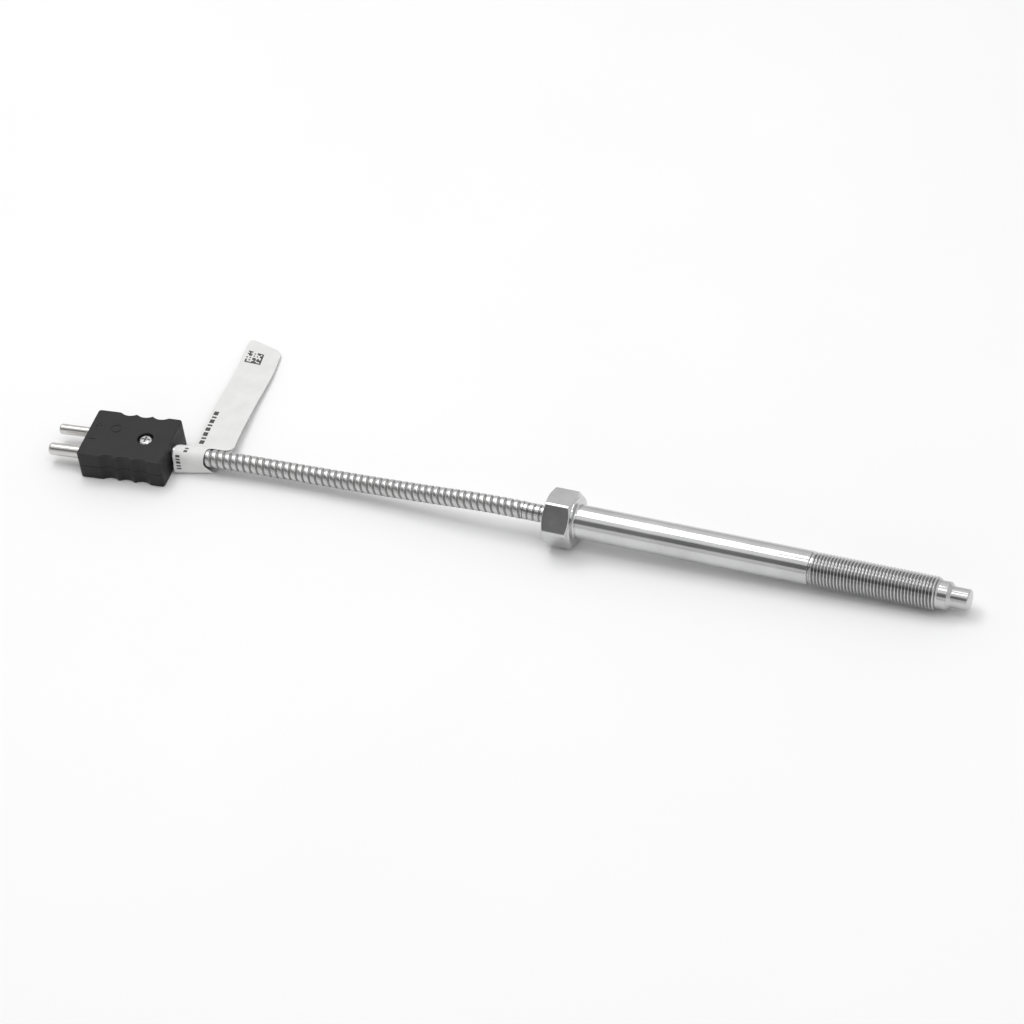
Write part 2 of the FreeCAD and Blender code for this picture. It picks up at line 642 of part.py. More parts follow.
def shell(name, lower):
    body = new_body(name)
    h = S("0.5*plug_high", "-0.5*plug_split")
    start = S(0.0) if lower else S("0.5*plug_high", "0.5*plug_split")
    sk = new_sketch(body, name + "_outline", "XY_Plane", start)
    l, w = "0.5*plug_length", "0.5*plug_width"
    polygon(sk, [(S("-" + l), S("-" + w)), (S(l), S("-" + w)), (S(l), S(w)), (S("-" + l), S(w))])
    block = pad(body, sk, name + "_block", h)
    rounded = round_edges(body, block, name + "_corners", upright, S("plug_corner"))
    face = 0.0 if lower else V["plug_high"]
    round_edges(body, rounded, name + "_edges", at_height(face), S("plug_edge"))
    # wiring space, with a post left standing for the cover screw
    sk = new_sketch(body, name + "_space", "XY_Plane", S("0.5*plug_high"))
    polygon(sk, [(S("cavity_front"), -9.2), (S("cavity_rear"), -9.2), (S("cavity_rear"), 9.2), (S("cavity_front"), 9.2)])
    circle(sk, S("screw_at"), 0.0, S("boss_rad"))
    pocket(body, sk, name + "_hollow", S("0.5*plug_high", "-plug_wall"), reverse=not lower)
    # channels that hold the contacts
    sk = new_sketch(body, name + "_channels", "YZ_Plane", S("-0.5*plug_length", -1.0))
    circle(sk, S("0.5*contact_pitch"), S("0.5*plug_high"), S("contact_pos_rad", "-contact_step", 0.08))
    circle(sk, S("-0.5*contact_pitch"), S("0.5*plug_high"), S("contact_neg_rad", "-contact_step", 0.08))
    pocket(body, sk, name + "_channel_cut", S("0.5*plug_length", "cavity_front", 1.5), reverse=True)
    sk = new_sketch(body, name + "_collars", "YZ_Plane", S("collar_from", -0.06))
    circle(sk, S("0.5*contact_pitch"), S("0.5*plug_high"), S("contact_collar_rad", 0.1))
    circle(sk, S("-0.5*contact_pitch"), S("0.5*plug_high"), S("contact_collar_rad", 0.1))
    pocket(body, sk, name + "_collar_cut", S("collar_width", 0.12), reverse=True)
    # cable entry and the seat of the bush
    sk = new_sketch(body, name + "_entry", "YZ_Plane", S("0.5*plug_length", 1.0))
    circle(sk, 0.0, S("0.5*plug_high"), S("entry_rad"))
    pocket(body, sk, name + "_entry_cut", S("0.5*plug_length", "-cavity_rear", 1.5))
    sk = new_sketch(body, name + "_seat", "YZ_Plane", S("bush_to", 0.06))
    circle(sk, 0.0, S("0.5*plug_high"), S("bush_seat_rad"))
    pocket(body, sk, name + "_seat_cut", S("bush_to", "-bush_from", 0.12))
    # the screw
    if lower:
        sk = new_sketch(body, name + "_insert_hole", "XY_Plane", S("0.5*plug_high"))
        circle(sk, S("screw_at"), 0.0, S("insert_rad"))
        pocket(body, sk, name + "_insert_cut", S("0.5*plug_high", -1.2))
    else:
        sk = new_sketch(body, name + "_screw_hole", "XY_Plane", S("plug_high", 1.0))
        circle(sk, S("screw_at"), 0.0, S("screw_hole_rad"))
        pocket(body, sk, name + "_screw_cut", S("0.5*plug_high", 2.0))
        sk = new_sketch(body, name + "_recess", "XY_Plane", S("plug_high", 1.0))
        circle(sk, S("screw_at"), 0.0, S("screw_recess_rad"))
        pocket(body, sk, name + "_recess_cut", S("screw_recess", 1.0))
    grips(body, S("0.5*plug_high"))
    if len(body.Shape.Solids) != 1:
        raise RuntimeError(name + " is in pieces")
    return piece(name, body, PLUG)


shell("plug_base", True)
shell("plug_cover", False)

# contacts: a rounded pin with a locating collar and a milled flat that is tapped for its screw
for sign, word, short in ((1, "positive", "contact_pos_rad"), (-1, "negative", "contact_neg_rad")):
    name = "contact_" + word
    body = new_body(name)
    y = ("" if sign > 0 else "-") + "0.5*contact_pitch"
    sk = new_sketch(body, name + "_rod", "YZ_Plane", S("-0.5*plug_length", "-contact_reach"))
    circle(sk, S(y), S("0.5*plug_high"), S(short))
    rod = pad(body, sk, name + "_drawn", S("0.5*plug_length", "contact_reach", "contact_shoulder"))
    tip_x = -V["plug_length"] / 2 - V["contact_reach"]
    round_edges(body, rod, name + "_tip", lambda e: e.Length > 3 and abs(e.BoundBox.XMin - tip_x) < 1e-6 and abs(e.BoundBox.XMax - tip_x) < 1e-6, S(short, -0.5))
    sk = new_sketch(body, name + "_neck", "YZ_Plane", S("contact_shoulder"))
    circle(sk, S(y), S("0.5*plug_high"), S(short, "-contact_step"))
    pad(body, sk, name + "_neck_turned", S("contact_inner", "-contact_shoulder"))
    sk = new_sketch(body, name + "_collar", "YZ_Plane", S("collar_from"))
    circle(sk, S(y), S("0.5*plug_high"), S("contact_collar_rad"))
    pad(body, sk, name + "_collar_turned", S("collar_width"))
    sk = new_sketch(body, name + "_flat", "XY_Plane", S("0.5*plug_high", "-contact_flat_drop"))
    lo, hi = sorted((S(y).value - 3.5, S(y).value + 3.5))
    polygon(sk, [(S("contact_flat"), S(y, -3.5)), (S("contact_inner", 1.0), S(y, -3.5)), (S("contact_inner", 1.0), S(y, 3.5)), (S("contact_flat"), S(y, 3.5))])
    pocket(body, sk, name + "_milled", 5.0, reverse=True)
    sk = new_sketch(body, name + "_tapping", "XY_Plane", S("0.5*plug_high"))
    circle(sk, S("terminal_at"), S(y), S("terminal_rad", 0.03))
    pocket(body, sk, name + "_tapped", 6.0)
    piece(name, body, PLUG)

# terminal screws and washers, alike on both contacts
screws, washers = [], []
for sign, word in ((1, "positive"), (-1, "negative")):
    y = ("" if sign > 0 else "-") + "0.5*contact_pitch"
    seat = ("0.5*plug_high", "-contact_flat_drop", "2*conductor_rad", 0.02)

    def rod(name, radius, height, *z):
        c = doc.addObject("Part::Cylinder", name)
        bind(c, "Radius", *radius)
        bind(c, "Height", *height)
        c.Placement = Placement(Vector(V["terminal_at"], S(y).value, S(*z).value), Rotation())
        bind(c, "Placement.Base.x", "terminal_at")
        bind(c, "Placement.Base.y", y)
        bind(c, "Placement.Base.z", *z)
        return c

    head = rod("terminal_head_" + word, ("terminal_head_rad",), ("terminal_head_high",), *seat, "washer_thick")
    shank = rod("terminal_shank_" + word, ("terminal_rad",), (3.4,), *seat, "washer_thick", -3.3)
    whole = doc.addObject("Part::Fuse", "terminal_blank_" + word)
    whole.Base, whole.Tool = head, shank
    slot = doc.addObject("Part::Box", "terminal_slot_" + word)
    slot.Length, slot.Width, slot.Height = 6.0, 0.7, 2.0
    slot.Placement = Placement(Vector(V["terminal_at"] - 3.0, S(y).value - 0.35, S(*seat, "washer_thick", "terminal_head_high", -0.6).value), Rotation())
    bind(slot, "Placement.Base.x", "terminal_at", -3.0)
    bind(slot, "Placement.Base.y", y, -0.35)
    bind(slot, "Placement.Base.z", *seat, "washer_thick", "terminal_head_high", -0.6)
    cut = doc.addObject("Part::Cut", "terminal_screw_" + word)
    cut.Base, cut.Tool = whole, slot
    screws.append(cut)
    disc = rod("washer_disc_" + word, ("washer_rad",), ("washer_thick",), *seat)
    hole = rod("washer_hole_" + word, ("terminal_rad", 0.1), ("washer_thick",), *seat)
    cut = doc.addObject("Part::Cut", "terminal_washer_" + word)
    cut.Base, cut.Tool = disc, hole
    washers.append(cut)
for name, links in (("terminal_screws", screws), ("terminal_washers", washers)):
    c = doc.addObject("Part::Compound", name)
    c.Links = links
    piece(name, c, PLUG)

# cover screw: pan head with a cross recess, captive in the cover
screw = new_body("cover_screw")
sk = new_sketch(screw, "screw_shank", "XY_Plane", S("plug_high", "-screw_recess", 0.05, "-screw_length"))
circle(sk, S("screw_at"), 0.0, S("screw_rad"))
pad(screw, sk, "screw_drawn", S("screw_length", 0.2))
sk = new_sketch(screw, "screw_head", "XY_Plane", S("plug_high", "-screw_recess", 0.05))
circle(sk, S("screw_at"), 0.0, S("screw_head_rad"))
head = pad(screw, sk, "screw_headed", S("screw_head_high"))
top = V["plug_high"] - V["screw_recess"] + 0.05 + V["screw_head_high"]
crown = round_edges(screw, head, "screw_crown", at_height(top), 0.6)
for k, (lx, ly) in enumerate(((1.7, 0.36), (0.36, 1.7))):
    sk = new_sketch(screw, "screw_cross_%d" % k, "XY_Plane", S("plug_high", "-screw_recess", 0.05, "screw_head_high", 0.5))
    polygon(sk, [(S("screw_at", -lx), -ly), (S("screw_at", lx), -ly), (S("screw_at", lx), ly), (S("screw_at", -lx), ly)])
    pocket(screw, sk, "screw_cross_cut_%d" % k, 1.6)
piece("cover_screw", screw, PLUG)

insert = new_body("cover_insert")
sk = new_sketch(insert, "insert_section", "XY_Plane", S(1.2))
circle(sk, S("screw_at"), 0.0, S("insert_rad", -0.01))
circle(sk, S("screw_at"), 0.0, S("insert_bore_rad"))
pad(insert, sk, "insert_turned", S("insert_length"))
piece("cover_insert", insert, PLUG)

bush = new_body("entry_bush")
sk = new_sketch(bush, "bush_section", "YZ_Plane", S("bush_from"))
circle(sk, 0.0, S("0.5*plug_high"), S("bush_rad"))
circle(sk, 0.0, S("0.5*plug_high"), S("bush_in_rad", 0.01))
pad(bush, sk, "bush_moulded", S("bush_to", "-bush_from"))
piece("entry_bush", bush, PLUG)

# ---------------------------------------------------------------- marker label
# A strip of film round the armour beside the plug: snug over the top, slack underneath, its two
# ends stuck together as a flag that sinks to the table. Its frame is the table's: along, across, up.
def table_point(x, y, h):
    return FOOT + E1 * x + E2 * y + E3 * h


T = V["label_thick"]
CENTRE = (1.15, 6.0)
loop = []
for deg in range(-10, 191, 20):
    a = math.radians(deg)
    loop.append((CENTRE[0] + 3.5 * math.cos(a), CENTRE[1] + 3.5 * math.sin(a)))
loop += [(-2.5, 4.4), (-2.45, 3.1), (-2.2, 1.9), (-1.6, 0.9), (-0.4, 0.45), (1.2, 0.75), (2.9, 1.9), (4.1, 3.5)]
outer = []
n = len(loop)
for i in range(n):
    p, q, r = loop[i - 1], loop[i], loop[(i + 1) % n]
    d = (r[0] - p[0], r[1] - p[1])
    k = math.hypot(*d)
    outer.append((q[0] + d[1] / k * T, q[1] - d[0] / k * T))
outer = [(y, max(h, 0.06)) for y, h in outer]


def ring_face(points, x):
    pts = [table_point(x, y, h) for y, h in points]
    return Part.Face(Part.makePolygon(pts + [pts[0]]))


loop_from, loop_wide = -163.0, 12.2
lead_way = (at_plug(1, 0, 0) - at_plug(0, 0, 0)).normalize()
band = ring_face(outer, loop_from).cut(ring_face(loop, loop_from)).extrude(lead_way * loop_wide)
# along, across and up for the flag's nearer edge, its line falling to the table
flag_line = [(6.9, 6.6, -159.3), (14.0, 5.1, -159.6), (28.0, 3.2, -161.2), (46.0, 1.9, -163.0), (V["label_end"], 0.9, -165.4)]
flag = None
wide = V["label_width"]
for (ya, ha, xa), (yb, hb, xb) in zip(flag_line, flag_line[1:]):
    # the far end is cut at a slant
    t = 1.0 - 4.4 / (yb - ya) if yb == V["label_end"] else 1.0
    quad = [table_point(xa, ya, ha), table_point(xa + wide, ya, ha), table_point(xa + (xb - xa) * t + wide, ya + (yb - ya) * t, ha + (hb - ha) * t), table_point(xb, yb, hb)]
    plate = Part.Face(Part.makePolygon(quad + [quad[0]])).extrude(E3 * T)
    flag = plate if flag is None else flag.fuse(plate)
# the flag's root bends over to meet the loop on the far side of the armour
quad = [table_point(-159.3, 4.75, 6.6), table_point(-151.0, 5.35, 6.6), table_point(-151.0, 7.0, 6.6), table_point(-159.3, 7.0, 6.6)]
bridge = Part.Face(Part.makePolygon(quad + [quad[0]])).extrude(E3 * T)
label = band.fuse([flag, bridge]).removeSplitter()
if len(label.Solids) != 1:
    raise RuntimeError("the label is in %d pieces" % len(label.Solids))
f = doc.addObject("Part::Feature", "marker_label")
f.Shape = label.Solids[0]
piece("marker_label", f)

# ---------------------------------------------------------------- checks and files
doc.recompute()
for obj in doc.Objects:
    if any(word in ("Invalid", "Error") for word in obj.State):
        raise RuntimeError("%s: %s" % (obj.Name, obj.State))
for name, obj in PIECES:
    shape = obj.Shape
    if shape.isNull() or not shape.isValid():
        raise RuntimeError(name + " has no valid shape")
for name, obj in PIECES:
    obj.Shape.exportStep("parts/" + name + ".step")
    b = obj.Shape.BoundBox
    print("%-24s %2d solid(s) %9.2f mm3  x %.1f..%.1f  y %.1f..%.1f  z %.1f..%.1f" % (name, len(obj.Shape.Solids), obj.Shape.Volume, b.XMin, b.XMax, b.YMin, b.YMax, b.ZMin, b.ZMax))
print(len(PIECES), "nodes")
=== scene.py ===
import math

import bmesh
import bpy
import numpy as np
from mathutils import Matrix, Vector


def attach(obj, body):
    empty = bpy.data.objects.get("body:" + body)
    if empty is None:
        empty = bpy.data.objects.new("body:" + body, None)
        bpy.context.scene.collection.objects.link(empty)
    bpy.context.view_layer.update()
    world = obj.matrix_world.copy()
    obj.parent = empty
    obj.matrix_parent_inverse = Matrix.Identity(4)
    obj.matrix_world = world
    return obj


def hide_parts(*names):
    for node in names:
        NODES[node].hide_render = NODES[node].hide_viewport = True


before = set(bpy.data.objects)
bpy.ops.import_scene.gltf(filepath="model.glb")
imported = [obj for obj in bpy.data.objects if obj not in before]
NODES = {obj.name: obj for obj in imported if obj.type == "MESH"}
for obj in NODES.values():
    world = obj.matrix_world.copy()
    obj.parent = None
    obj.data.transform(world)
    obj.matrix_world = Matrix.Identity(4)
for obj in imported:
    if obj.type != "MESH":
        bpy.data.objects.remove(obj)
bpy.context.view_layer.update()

TAU = 2.0 * math.pi
SCENE = bpy.context.scene
SCENE.view_settings.view_transform = "Standard"

# ------------------------------------------------------------------ frames, in millimetres
LIE, YAW = math.radians(1.59), math.radians(3.839)
E1 = Vector((math.cos(LIE), 0.0, math.sin(LIE)))
E2 = Vector((0.0, 1.0, 0.0))
E3 = Vector((-math.sin(LIE), 0.0, math.cos(LIE)))
FOOT = Vector((0.0, 0.0, -10.16))
PLUG_AT = FOOT + E1 * -181.51 + E2 * -0.09
PX = E1 * math.cos(YAW) + E2 * math.sin(YAW)
PY = -E1 * math.sin(YAW) + E2 * math.cos(YAW)


def frame_matrix(at, x, y, z):
    """A frame in millimetres to the row frame in metres."""
    m = Matrix((
        (x.x, y.x, z.x, at.x),
        (x.y, y.y, z.y, at.y),
        (x.z, y.z, z.z, at.z),
        (0.0, 0.0, 0.0, 1.0),
    ))
    return Matrix.Scale(0.001, 4) @ m


ROW = Matrix.Scale(0.001, 4)
PLUG = frame_matrix(PLUG_AT, PX, PY, E3)
TABLE = frame_matrix(FOOT, E1, E2, E3)

# ------------------------------------------------------------------ camera
right = Vector((0.9249811419041667, 0.3667228971428813, -0.09962029829706064))
up = Vector((-0.18729457272433014, 0.6680439816837646, 0.7201652460124082))
back = Vector((0.330651826170179, -0.6474809304120344, 0.6866132933486593))
camera_data = bpy.data.cameras.new("camera")
camera_data.sensor_width = 36.0
camera_data.lens = 5300.743 / 1024.0 * 36.0
camera_data.clip_start, camera_data.clip_end = 0.05, 20.0
camera = bpy.data.objects.new("camera", camera_data)
SCENE.collection.objects.link(camera)
camera.matrix_world = Matrix((
    (right.x, up.x, back.x, 0.61449157),
    (right.y, up.y, back.y, -1.25477255),
    (right.z, up.z, back.z, 1.32836200),
    (0.0, 0.0, 0.0, 1.0),
))
SCENE.camera = camera


# ------------------------------------------------------------------ mesh helpers
def mesh_object(name, verts, faces, matrix=None, merge=1e-5, attribute=None, uv=None):
    me = bpy.data.meshes.new(name)
    me.from_pydata([tuple(v) for v in verts], [], [tuple(f) for f in faces])
    if attribute is not None:
        a = me.attributes.new(attribute[0], "FLOAT", "POINT")
        a.data.foreach_set("value", np.array(attribute[1], np.float32))
    if uv is not None:
        layer = me.uv_layers.new(name="UVMap")
        flat = [c for loop in me.loops for c in uv[loop.vertex_index]]
        layer.data.foreach_set("uv", flat)
    bm = bmesh.new()
    bm.from_mesh(me)
    if merge:
        bmesh.ops.remove_doubles(bm, verts=bm.verts, dist=merge)
        bmesh.ops.dissolve_degenerate(bm, dist=merge, edges=bm.edges)
    bmesh.ops.recalc_face_normals(bm, faces=bm.faces)
    bm.to_mesh(me)
    bm.free()
    if matrix is not None:
        me.transform(matrix)
    ob = bpy.data.objects.new(name, me)
    SCENE.collection.objects.link(ob)
    return ob


def shade(ob, angle=30.0):
    me = ob.data
    me.shade_smooth()
    me.set_sharp_from_angle(angle=math.radians(angle))
    m = ob.modifiers.new("even_normals", "WEIGHTED_NORMAL")
    m.keep_sharp = True
    m.weight = 60
    return ob


def keep_flats(ob, area, metres=True):
    """Marks the border of every flat face sharp, so that its shading stays even."""
    me = ob.data
    bm = bmesh.new()
    bm.from_mesh(me)
    bm.faces.ensure_lookup_table()
    limit = area * (1e-6 if metres else 1.0)
    group = [-1] * len(bm.faces)
    sizes = []
    for f in bm.faces:
        if group[f.index] >= 0:
            continue
        group[f.index] = len(sizes)
        stack, total = [f], 0.0
        while stack:
            g = stack.pop()
            total += g.calc_area()
            for e in g.edges:
                for h in e.link_faces:
                    if group[h.index] < 0 and h.normal.dot(f.normal) > 0.99998:
                        group[h.index] = len(sizes)
                        stack.append(h)
        sizes.append(total)
    for e in bm.edges:
        k = {group[f.index] for f in e.link_faces}
        if len(k) > 1 and any(sizes[i] > limit for i in k):
            e.smooth = False
    bm.to_mesh(me)
    bm.free()


def rounded(points, radii, steps=4):
    """A profile with each inner corner replaced by an arc of its radius."""
    out = []
    n = len(points)
    for i, p in enumerate(points):
        r = radii.get(i, 0.0)
        if r <= 0 or i == 0 or i == n - 1:
            out.append(tuple(p))
            continue
        a, b = Vector(points[i - 1]) - Vector(p), Vector(points[i + 1]) - Vector(p)
        la, lb = a.length, b.length
        a.normalize(), b.normalize()
        full = a.angle(b)
        cut = min(r / math.tan(full / 2.0), 0.49 * la, 0.49 * lb)
        rr = cut * math.tan(full / 2.0)
        centre = Vector(p) + (a + b).normalized() * (rr / math.sin(full / 2.0))
        s, e = Vector(p) + a * cut - centre, Vector(p) + b * cut - centre
        turn = s.angle_signed(e)
        for k in range(steps + 1):
            t = -turn * k / steps
            c, d = math.cos(t), math.sin(t)
            out.append((centre.x + s.x * c - s.y * d, centre.y + s.x * d + s.y * c))
    return out


class Skin:
    def __init__(self):
        self.v, self.f, self.a = [], [], []

    def ring(self, points, value=0.0):
        first = len(self.v)
        self.v += [tuple(p) for p in points]
        self.a += [value] * len(points)
        return list(range(first, first + len(points)))

    def turn(self, x, r, angles, value=0.0):
        return self.ring([(x, r * math.cos(t), r * math.sin(t)) for t in angles], value)

    def bridge(self, a, b):
        n = len(a)
        for j in range(n):
            k = (j + 1) % n
            self.f.append((a[j], a[k], b[k], b[j]))

    def zip(self, a, ta, b, tb):
        """Joins two rings with different numbers of points."""
        i = j = 0
        n, m = len(a), len(b)
        while i < n or j < m:
            na = ta[(i + 1) % n] + (TAU if i + 1 >= n else 0.0)
            nb = tb[(j + 1) % m] + (TAU if j + 1 >= m else 0.0)
            if j >= m or (i < n and na <= nb):
                self.f.append((a[i % n], a[(i + 1) % n], b[j % m]))
                i += 1
            else:
                self.f.append((a[i % n], b[(j + 1) % m], b[j % m]))
                j += 1

    def fan(self, ring):
        self.f.append(tuple(ring))


def even(n):
    return [TAU * k / n for k in range(n)]


def lathe(skin, profile, n=96, closed=True):
    """Turns a profile of (x, r) about X. r of 0 closes to a disc."""
    angles = even(n)
    rings = []
    for x, r in profile:
        rings.append(skin.turn(x, r, angles) if r > 1e-9 else skin.ring([(x, 0.0, 0.0)]))
    pairs = list(zip(rings, rings[1:])) + ([(rings[-1], rings[0])] if closed else [])
    for a, b in pairs:
        if len(a) == 1 and len(b) == 1:
            continue
        if len(a) == 1:
            for j in range(n):
                skin.f.append((a[0], b[j], b[(j + 1) % n]))
        elif len(b) == 1:
            for j in range(n):
                skin.f.append((b[0], a[j], a[(j + 1) % n]))
        else:
            skin.bridge(a, b)
    return rings


def helical(skin, place, start, end, pitch, phases, radius, n, offset=0.0):
    """A skin whose rings follow a right-hand helix. place(s, t, r) gives a point, radius(s, phase)
    its radius and attribute. Returns the first and last rings, which are square to the axis."""
    turns = int(math.ceil((end - start) / pitch)) + 3
    angles = even(n)
    rows = []
    for k in range(-1, turns):
        for p in phases:
            row = []
            for t in angles:
                s = min(max(start + offset * pitch - pitch + (k + p + t / TAU) * pitch, start), end)
                phase = ((s - start) / pitch - offset - t / TAU) % 1.0
                r, value = radius(s, phase)
                row.append(len(skin.v))
                skin.v.append(tuple(place(s, t, r)))
                skin.a.append(value)
            rows.append(row)
    kk = len(phases)
    for i in range(len(rows) - kk - 1):
        for j in range(n):
            if j < n - 1:
                q = (rows[i][j], rows[i][j + 1], rows[i + 1][j + 1], rows[i + 1][j])
            else:
                q = (rows[i][j], rows[i + kk][0], rows[i + kk + 1][0], rows[i + 1][j])
            skin.f.append(q)
    for i in range(len(rows) - kk - 1, len(rows) - 1):
        for j in range(n - 1):
            skin.f.append((rows[i][j], rows[i][j + 1], rows[i + 1][j + 1], rows[i + 1][j]))
    return rows[0], rows[-1]


def table_of(points):
    """Straight-line interpolation in a list of (phase, value), wrapping at 1."""
    xs = [p for p, _ in points] + [points[0][0] + 1.0]
    ys = [v for _, v in points] + [points[0][1]]

    def f(x):
        if x < xs[0]:
            x += 1.0
        return float(np.interp(x, xs, ys))

    return f


def carve(ob, cutters, operation="DIFFERENCE"):
    for c in cutters:
        m = ob.modifiers.new("cut", "BOOLEAN")
        m.object, m.operation, m.solver = c, operation, "EXACT"
    bpy.context.view_layer.update()
    graph = bpy.context.evaluated_depsgraph_get()
    me = bpy.data.meshes.new_from_object(ob.evaluated_get(graph))
    ob.modifiers.clear()
    ob.data = me
    for c in cutters:
        bpy.data.objects.remove(c)
    bm = bmesh.new()
    bm.from_mesh(me)
    bmesh.ops.remove_doubles(bm, verts=bm.verts, dist=1e-5)
    bmesh.ops.dissolve_degenerate(bm, dist=1e-5, edges=bm.edges)
    bm.to_mesh(me)
    bm.free()
    return ob


def to_row(ob, matrix):
    ob.data.transform(matrix)
    return ob


def rod(name, a, b, radius, n=48):
    """A plain rod between two points, as a cutter."""
    a, b = Vector(a), Vector(b)
    w = (b - a).normalized()
    u = w.orthogonal().normalized()
    v = w.cross(u)
    skin = Skin()
    rings = [skin.ring([p + (u * math.cos(t) + v * math.sin(t)) * r for t in even(n)]) for p, r in ((a, radius), (b, radius))]
    skin.bridge(*rings)
    skin.fan(rings[0])
    skin.fan(rings[1])
    return mesh_object(name, skin.v, skin.f)


def block(name, lo, hi):
    x0, y0, z0 = lo
    x1, y1, z1 = hi
    v = [(x0, y0, z0), (x1, y0, z0), (x1, y1, z0), (x0, y1, z0), (x0, y0, z1), (x1, y0, z1), (x1, y1, z1), (x0, y1, z1)]
    f = [(0, 1, 2, 3), (4, 5, 6, 7), (0, 1, 5, 4), (1, 2, 6, 5), (2, 3, 7, 6), (3, 0, 4, 7)]
    return mesh_object(name, v, f)


def prism(name, outline, z0, z1):
    skin = Skin()
    a = skin.ring([(x, y, z0) for x, y in outline])
    b = skin.ring([(x, y, z1) for x, y in outline])
    skin.bridge(a, b)
    skin.fan(a)
    skin.fan(b)
    return mesh_object(name, skin.v, skin.f)


# ------------------------------------------------------------------ material helpers
class Paint:
    """A procedural material round one Principled shader."""

    def __init__(self, name, **inputs):
        self.m = bpy.data.materials.new(name)
        self.m.use_nodes = True
        self.t = self.m.node_tree
        self.t.nodes.clear()
        self.out = self.t.nodes.new("ShaderNodeOutputMaterial")
        self.b = self.t.nodes.new("ShaderNodeBsdfPrincipled")
        self.t.links.new(self.b.outputs[0], self.out.inputs["Surface"])
        for k, v in inputs.items():
            self.b.inputs[k.replace("_", " ")].default_value = v

    def link(self, a, b):
        self.t.links.new(a, b)

    def where(self, scale=(1, 1, 1), turn=(0, 0, 0), source="Object"):
        c = self.t.nodes.new("ShaderNodeTexCoord")
        m = self.t.nodes.new("ShaderNodeMapping")
        m.inputs["Scale"].default_value = scale
        m.inputs["Rotation"].default_value = turn
        self.link(c.outputs[source], m.inputs["Vector"])
        return m.outputs[0]

    def noise(self, vector, scale=1.0, detail=3.0, rough=0.55, distortion=0.0):
        n = self.t.nodes.new("ShaderNodeTexNoise")
        n.inputs["Scale"].default_value = scale
        n.inputs["Detail"].default_value = detail
        n.inputs["Roughness"].default_value = rough
        n.inputs["Distortion"].default_value = distortion
        self.link(vector, n.inputs["Vector"])
        return n.outputs["Fac"]

    def voronoi(self, vector, scale=1.0, feature="F1"):
        n = self.t.nodes.new("ShaderNodeTexVoronoi")
        n.feature = feature
        n.inputs["Scale"].default_value = scale
        self.link(vector, n.inputs["Vector"])
        return n.outputs["Distance"]

    def attribute(self, name):
        n = self.t.nodes.new("ShaderNodeAttribute")
        n.attribute_name = name
        return n.outputs["Fac"]

    def math(self, kind, a, b=None, clamp=False):
        n = self.t.nodes.new("ShaderNodeMath")
        n.operation, n.use_clamp = kind, clamp
        for i, x in enumerate((a, b)):
            if x is None:
                continue
            if isinstance(x, (int, float)):
                n.inputs[i].default_value = x
            else:
                self.link(x, n.inputs[i])
        return n.outputs[0]

    def spread(self, fac, a0, a1, b0, b1):
        n = self.t.nodes.new("ShaderNodeMapRange")
        for k, v in zip(("From Min", "From Max", "To Min", "To Max"), (a0, a1, b0, b1)):
            n.inputs[k].default_value = v
        self.link(fac, n.inputs["Value"])
        return n.outputs[0]

    def ramp(self, fac, *stops):
        n = self.t.nodes.new("ShaderNodeValToRGB")
        e = n.color_ramp.elements
        while len(e) < len(stops):
            e.new(0.5)
        for item, (p, c) in zip(e, stops):
            item.position = p
            item.color = (*c, 1.0)
        self.link(fac, n.inputs["Fac"])
        return n.outputs["Color"]

    def mix(self, fac, a, b, kind="MIX"):
        n = self.t.nodes.new("ShaderNodeMix")
        n.data_type, n.blend_type = "RGBA", kind
        for socket, x in ((n.inputs["Factor"], fac), (n.inputs["A"], None), (n.inputs["B"], None)):
            pass
        sockets = [s for s in n.inputs if s.enabled or True]
        rgba = [s for s in n.inputs if s.type == "RGBA"]
        for s, x in zip(rgba, (a, b)):
            if isinstance(x, tuple):
                s.default_value = (*x, 1.0)
            else:
                self.link(x, s)
        if isinstance(fac, (int, float)):
            n.inputs[0].default_value = fac
        else:
            self.link(fac, n.inputs[0])
        return [o for o in n.outputs if o.type == "RGBA"][0]

    def colour(self, socket):
        self.link(socket, self.b.inputs["Base Color"])

    def rough(self, socket):
        self.link(socket, self.b.inputs["Roughness"])

    def bump(self, height, strength, distance, after=None):
        n = self.t.nodes.new("ShaderNodeBump")
        n.inputs["Strength"].default_value = strength
        n.inputs["Distance"].default_value = distance
        self.link(height, n.inputs["Height"])
        if after is not None:
            self.link(after, n.inputs["Normal"])
        self.link(n.outputs[0], self.b.inputs["Normal"])
        return n.outputs[0]


def steel(name, tint, low, high, lines=(9000.0, 300.0, 300.0), depth=0.000002, stain=0.10, shaded_grooves=False):
    """Turned or drawn steel: fine lines round the axis, smudges and a few scratches, and optionally painted shade
    darkening the grooves.
    """
    p = Paint(name, Metallic=1.0)
    w = p.where()
    cloud = p.noise(w, 55.0, 4.0, 0.6)
    fine = p.noise(p.where(lines), 1.0, 3.0, 0.6)
    light = tuple(min(1.0, c * (1 + stain)) for c in tint)
    dark = tuple(c * (1 - stain) for c in tint)
    tone = p.ramp(cloud, (0.32, dark), (0.52, tint), (0.75, light))
    lined = p.mix(p.spread(fine, 0.35, 0.65, 0.0, 0.28), tone, tuple(c * 0.80 for c in tint))
    # painted shade: a near-black colour laid into the grooves, as strong as the per-vertex groove mask
    if shaded_grooves:
        groove_shade_mask = p.attribute("groove_shade_mask")
        lined = p.mix(p.math("MULTIPLY", groove_shade_mask, p.spread(cloud, 0.3, 0.7, 0.55, 0.85)), lined, (0.10, 0.098, 0.092))
    p.colour(lined)
    marks = p.noise(p.where((160.0, 900.0, 900.0), (0.3, 0.5, 0.2)), 1.0, 6.0, 0.7)
    r = p.math("ADD", p.spread(cloud, 0.3, 0.75, low, high), p.spread(marks, 0.60, 0.72, 0.0, 0.10))
    p.rough(r)
    first = p.bump(fine, 0.35, depth * 4)
    p.bump(marks, 0.10, depth * 8, first)
    return p.m


